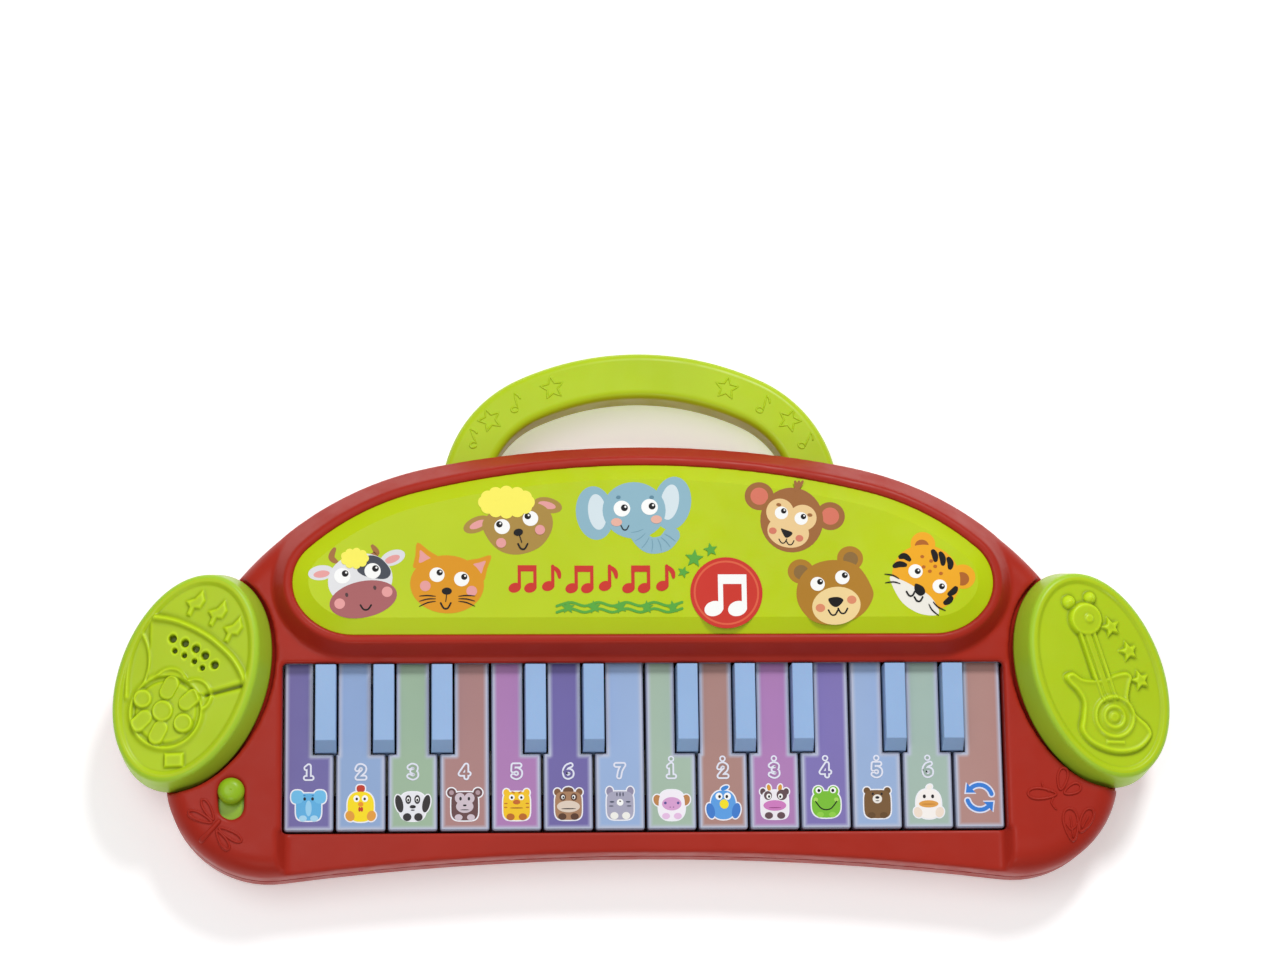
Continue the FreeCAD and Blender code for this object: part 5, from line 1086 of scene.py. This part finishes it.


def moulded_pad(node_name, side, height):
    """One closed shell: relief face, round rim, skirt, inner wall and the flat inside."""
    steps = 420
    turn = np.linspace(0, 2 * math.pi, steps, endpoint=False)
    lean = math.pi / 2 + side * PAD_LEAN

    def ring(a, b):
        u, v = a * np.cos(turn), b * np.sin(turn)
        return np.stack([u * math.cos(lean) - v * math.sin(lean), u * math.sin(lean) + v *
            math.cos(lean)], 1)

    levels, painted_light_levels = [], []

    def add(points, z, painted_shade=1.0):
        levels.append(np.hstack([points, np.broadcast_to(np.reshape(z, (-1, 1)), (steps, 1))]))
        painted_light_levels.append(np.broadcast_to(painted_shade, (steps,)))

    # from the middle of the face outwards
    inner = (PAD_HALF[0] - RIM_WIDTH, PAD_HALF[1] - RIM_WIDTH)
    for share in list(np.linspace(0.004, 1.0, FACE_RINGS)) + [None] * RIM_RINGS:
        if share is not None:
            pts = ring(inner[0] * share, inner[1] * share)
            gap = RIM_WIDTH
        else:
            gap -= RIM_WIDTH / (RIM_RINGS + 1)
            pts = ring(PAD_HALF[0] - gap, PAD_HALF[1] - gap)
        relief = RELIEF * height(pts)
        rim = ease((4.3 - gap) / 1.7) if gap < 4.4 else 0.0
        corner = CORNER_ROUND - math.sqrt(
            max(0.0, CORNER_ROUND ** 2 - max(0.0, CORNER_ROUND - gap) ** 2))
        z = -FACE_DROP + relief * (1 - rim) + FACE_DROP * rim - corner
        # painted shade: parts sunk below the face are coloured darker
        add(pts, z, 1.0 - 0.6 * np.clip(-relief / 0.8, 0, 1) * (1 - rim))
    # painted shade in the hollows between the raised figures, painted highlight on their crests
    field = np.array([level[:, 2] for level in levels])
    blur = sum(np.roll(field, k, 1) for k in range(-4, 5)) / 9.0
    padded = np.vstack([blur[:1]] * 3 + [blur] + [blur[-1:]] * 3)
    blur = sum(padded[k:k + len(field)] for k in range(7)) / 7.0
    for k in range(len(levels) - 14):
        painted_light_levels[k] = painted_light_levels[k] * (1.0 + np.clip(0.9 * (field[k] - blur[k]), -0.4, 0.25))
    wall_start = len(levels) - 6
    for share in np.linspace(0.0, 1.0, 12):
        a = PAD_HALF[0] + (PAD_SKIRT[0] - PAD_HALF[0]) * share
        b = PAD_HALF[1] + (PAD_SKIRT[1] - PAD_HALF[1]) * share
        # painted shade, darker towards the lower edge of the wall
        add(ring(a, b), -CORNER_ROUND - (PAD_DEPTH - CORNER_ROUND) * share, 1.0 - 0.1 * share)
    wall_end = len(levels)
    add(ring(PAD_SKIRT[0] - 0.5, PAD_SKIRT[1] - 0.5), -PAD_DEPTH)
    add(ring(PAD_SKIRT[0] - PAD_WALL, PAD_SKIRT[1] - PAD_WALL), -PAD_DEPTH)
    add(ring(PAD_HALF[0] - PAD_WALL - 1.0, PAD_HALF[1] - PAD_WALL - 1.0), -PAD_WALL - 1.6)
    add(ring(PAD_HALF[0] - PAD_WALL - 2.4, PAD_HALF[1] - PAD_WALL - 2.4), -PAD_WALL - 0.8)
    add(ring(STEM_RADIUS, STEM_RADIUS), -PAD_WALL - 0.8)
    add(ring(STEM_RADIUS, STEM_RADIUS), STEM_END)
    local = np.vstack(levels)
    # painted shade and highlight of every point, as a colour factor
    tint = np.concatenate(painted_light_levels)
    faces = []
    for k in range(len(levels) - 1):
        faces += belt(k * steps, (k + 1) * steps, steps)
    faces.append(list(range(steps)))
    last = (len(levels) - 1) * steps
    faces.append([last + i for i in reversed(range(steps))])
    axis = -Vector(JOINTS[node_name + "_slide"]["axis"])
    right = Vector((axis.z, 0, -axis.x))
    verts = [(side * PAD_CENTRE[0] + p[0] * right.x + p[2] * axis.x, PAD_CENTRE[1] + p[1],
              PAD_CENTRE[2] + p[0] * right.z + p[2] * axis.z) for p in local]
    base = np.array(linear(GREEN))
    colours = base[None, :] * tint[:, None]
    # painted shade tone on the side wall
    colours[wall_start * steps:wall_end * steps] *= WALL_SHADE_TINT
    colours[:, 3] = 1.0
    obj = build(node_name + "_moulded", verts, faces, MOULDED, node_name + "_body",
                True, colours)
    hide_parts(node_name)


moulded_pad("drum_pad", -1, drum_height)
moulded_pad("guitar_pad", 1, guitar_height)


# ---- switch knob --------------------------------------------------------

GRIP_INSET = 10.0                # from the rear end of the CAD knob to the middle of its grip


def bulb(node_name, body, material):
    """Rounder grip that covers the CAD one, with a waist where it enters the slot."""
    low, high = box_mm(node_name)
    cx = 0.5 * (low.x + high.x)
    cy = high.y - GRIP_INSET
    top = high.z
    profile = [(0.0, 0.35), (1.6, 0.26), (2.8, 0.0), (3.8, -0.66), (4.5, -1.7), (4.75, -2.8),
               (4.5, -3.8), (4.25, -4.6), (4.25, -6.6)]
    curve = smooth_path(profile, steps=4)
    steps = 48
    verts = [(cx, cy, top)]
    faces = []
    for r, z in curve[1:]:
        for a in full_turn(steps):
            verts.append((cx + r * math.cos(a), cy + r * math.sin(a), top + z))
    for i in range(steps):
        faces.append([0, 1 + i, 1 + (i + 1) % steps])
    for k in range(len(curve) - 2):
        faces += belt(1 + k * steps, 1 + (k + 1) * steps, steps)
    last = 1 + (len(curve) - 2) * steps
    faces.append([last + i for i in reversed(range(steps))])
    build(node_name + "_grip", verts, faces, material, body)


bulb("power_switch_knob", "power_switch_body", palette["knob_green"])


# ---- stage, light and camera --------------------------------------------

def floor():
    """A pale sheet that the toy lies on."""
    reach, count = 3000.0, 24
    steps = np.linspace(-reach, reach, count + 1)
    verts = [(x, y, 0.0) for y in steps for x in steps]
    w = count + 1
    faces = [[j * w + i, j * w + i + 1, (j + 1) * w + i + 1, (j + 1) * w + i]
             for j in range(count) for i in range(count)]
    mesh = bpy.data.meshes.new("floor")
    mesh.from_pydata([tuple(c * MM for c in v) for v in verts], [], faces)
    pale = surface("pale_floor", (252, 252, 252), rough=0.85, patch=0.004, specular=0.1)
    shader = pale.node_tree.nodes["Principled BSDF"]
    shader.inputs["Emission Color"].default_value = (1.0, 1.0, 1.0, 1.0)
    shader.inputs["Emission Strength"].default_value = 0.3
    mesh.materials.append(pale)
    obj = bpy.data.objects.new("floor", mesh)
    bpy.context.scene.collection.objects.link(obj)


def lamp(name, place, target, watts, size, tint=(1.0, 1.0, 1.0)):
    data = bpy.data.lights.new(name, "AREA")
    data.energy = watts
    data.shape = "DISK"
    data.size = size
    data.color = tint
    obj = bpy.data.objects.new(name, data)
    bpy.context.scene.collection.objects.link(obj)
    obj.location = place
    obj.rotation_euler = (Vector(target) - Vector(place)).to_track_quat("-Z", "Y").to_euler()


floor()
middle = (0.0, 0.0, 0.03)
lamp("key_light", (0.35, 0.95, 1.25), middle, 13.0, 0.4)
lamp("front_light", (-0.15, -1.15, 1.05), middle, 2.6, 0.3, (1.0, 0.97, 0.94))
lamp("top_light", (-0.45, 0.15, 1.5), middle, 5.5, 0.8, (0.97, 0.99, 1.0))

world = bpy.data.worlds.new("studio")
bpy.context.scene.world = world
world.use_nodes = True
world.node_tree.nodes["Background"].inputs["Color"].default_value = (1.0, 1.0, 1.0, 1.0)
world.node_tree.nodes["Background"].inputs["Strength"].default_value = 0.34

scene = bpy.context.scene
scene.view_settings.view_transform = "Standard"
scene.view_settings.look = "None"

ELEVATION = math.radians(77.0)
SIDEWAYS = math.radians(3.5)
DISTANCE = 1.4
AIM = Vector((-0.0005, 0.047, 0.0265))
camera_data = bpy.data.cameras.new("camera")
camera_data.lens = 108.0
camera_data.sensor_width = 36.0
camera = bpy.data.objects.new("camera", camera_data)
scene.collection.objects.link(camera)
back = Vector((-math.sin(SIDEWAYS), -math.cos(ELEVATION), math.sin(ELEVATION))).normalized()
right = (Vector((1, 0, 0)) - back * back.x).normalized()
up = back.cross(right)
camera.matrix_world = Matrix((right, up, back)).transposed().to_4x4()
camera.location = AIM + DISTANCE * back
scene.camera = camera
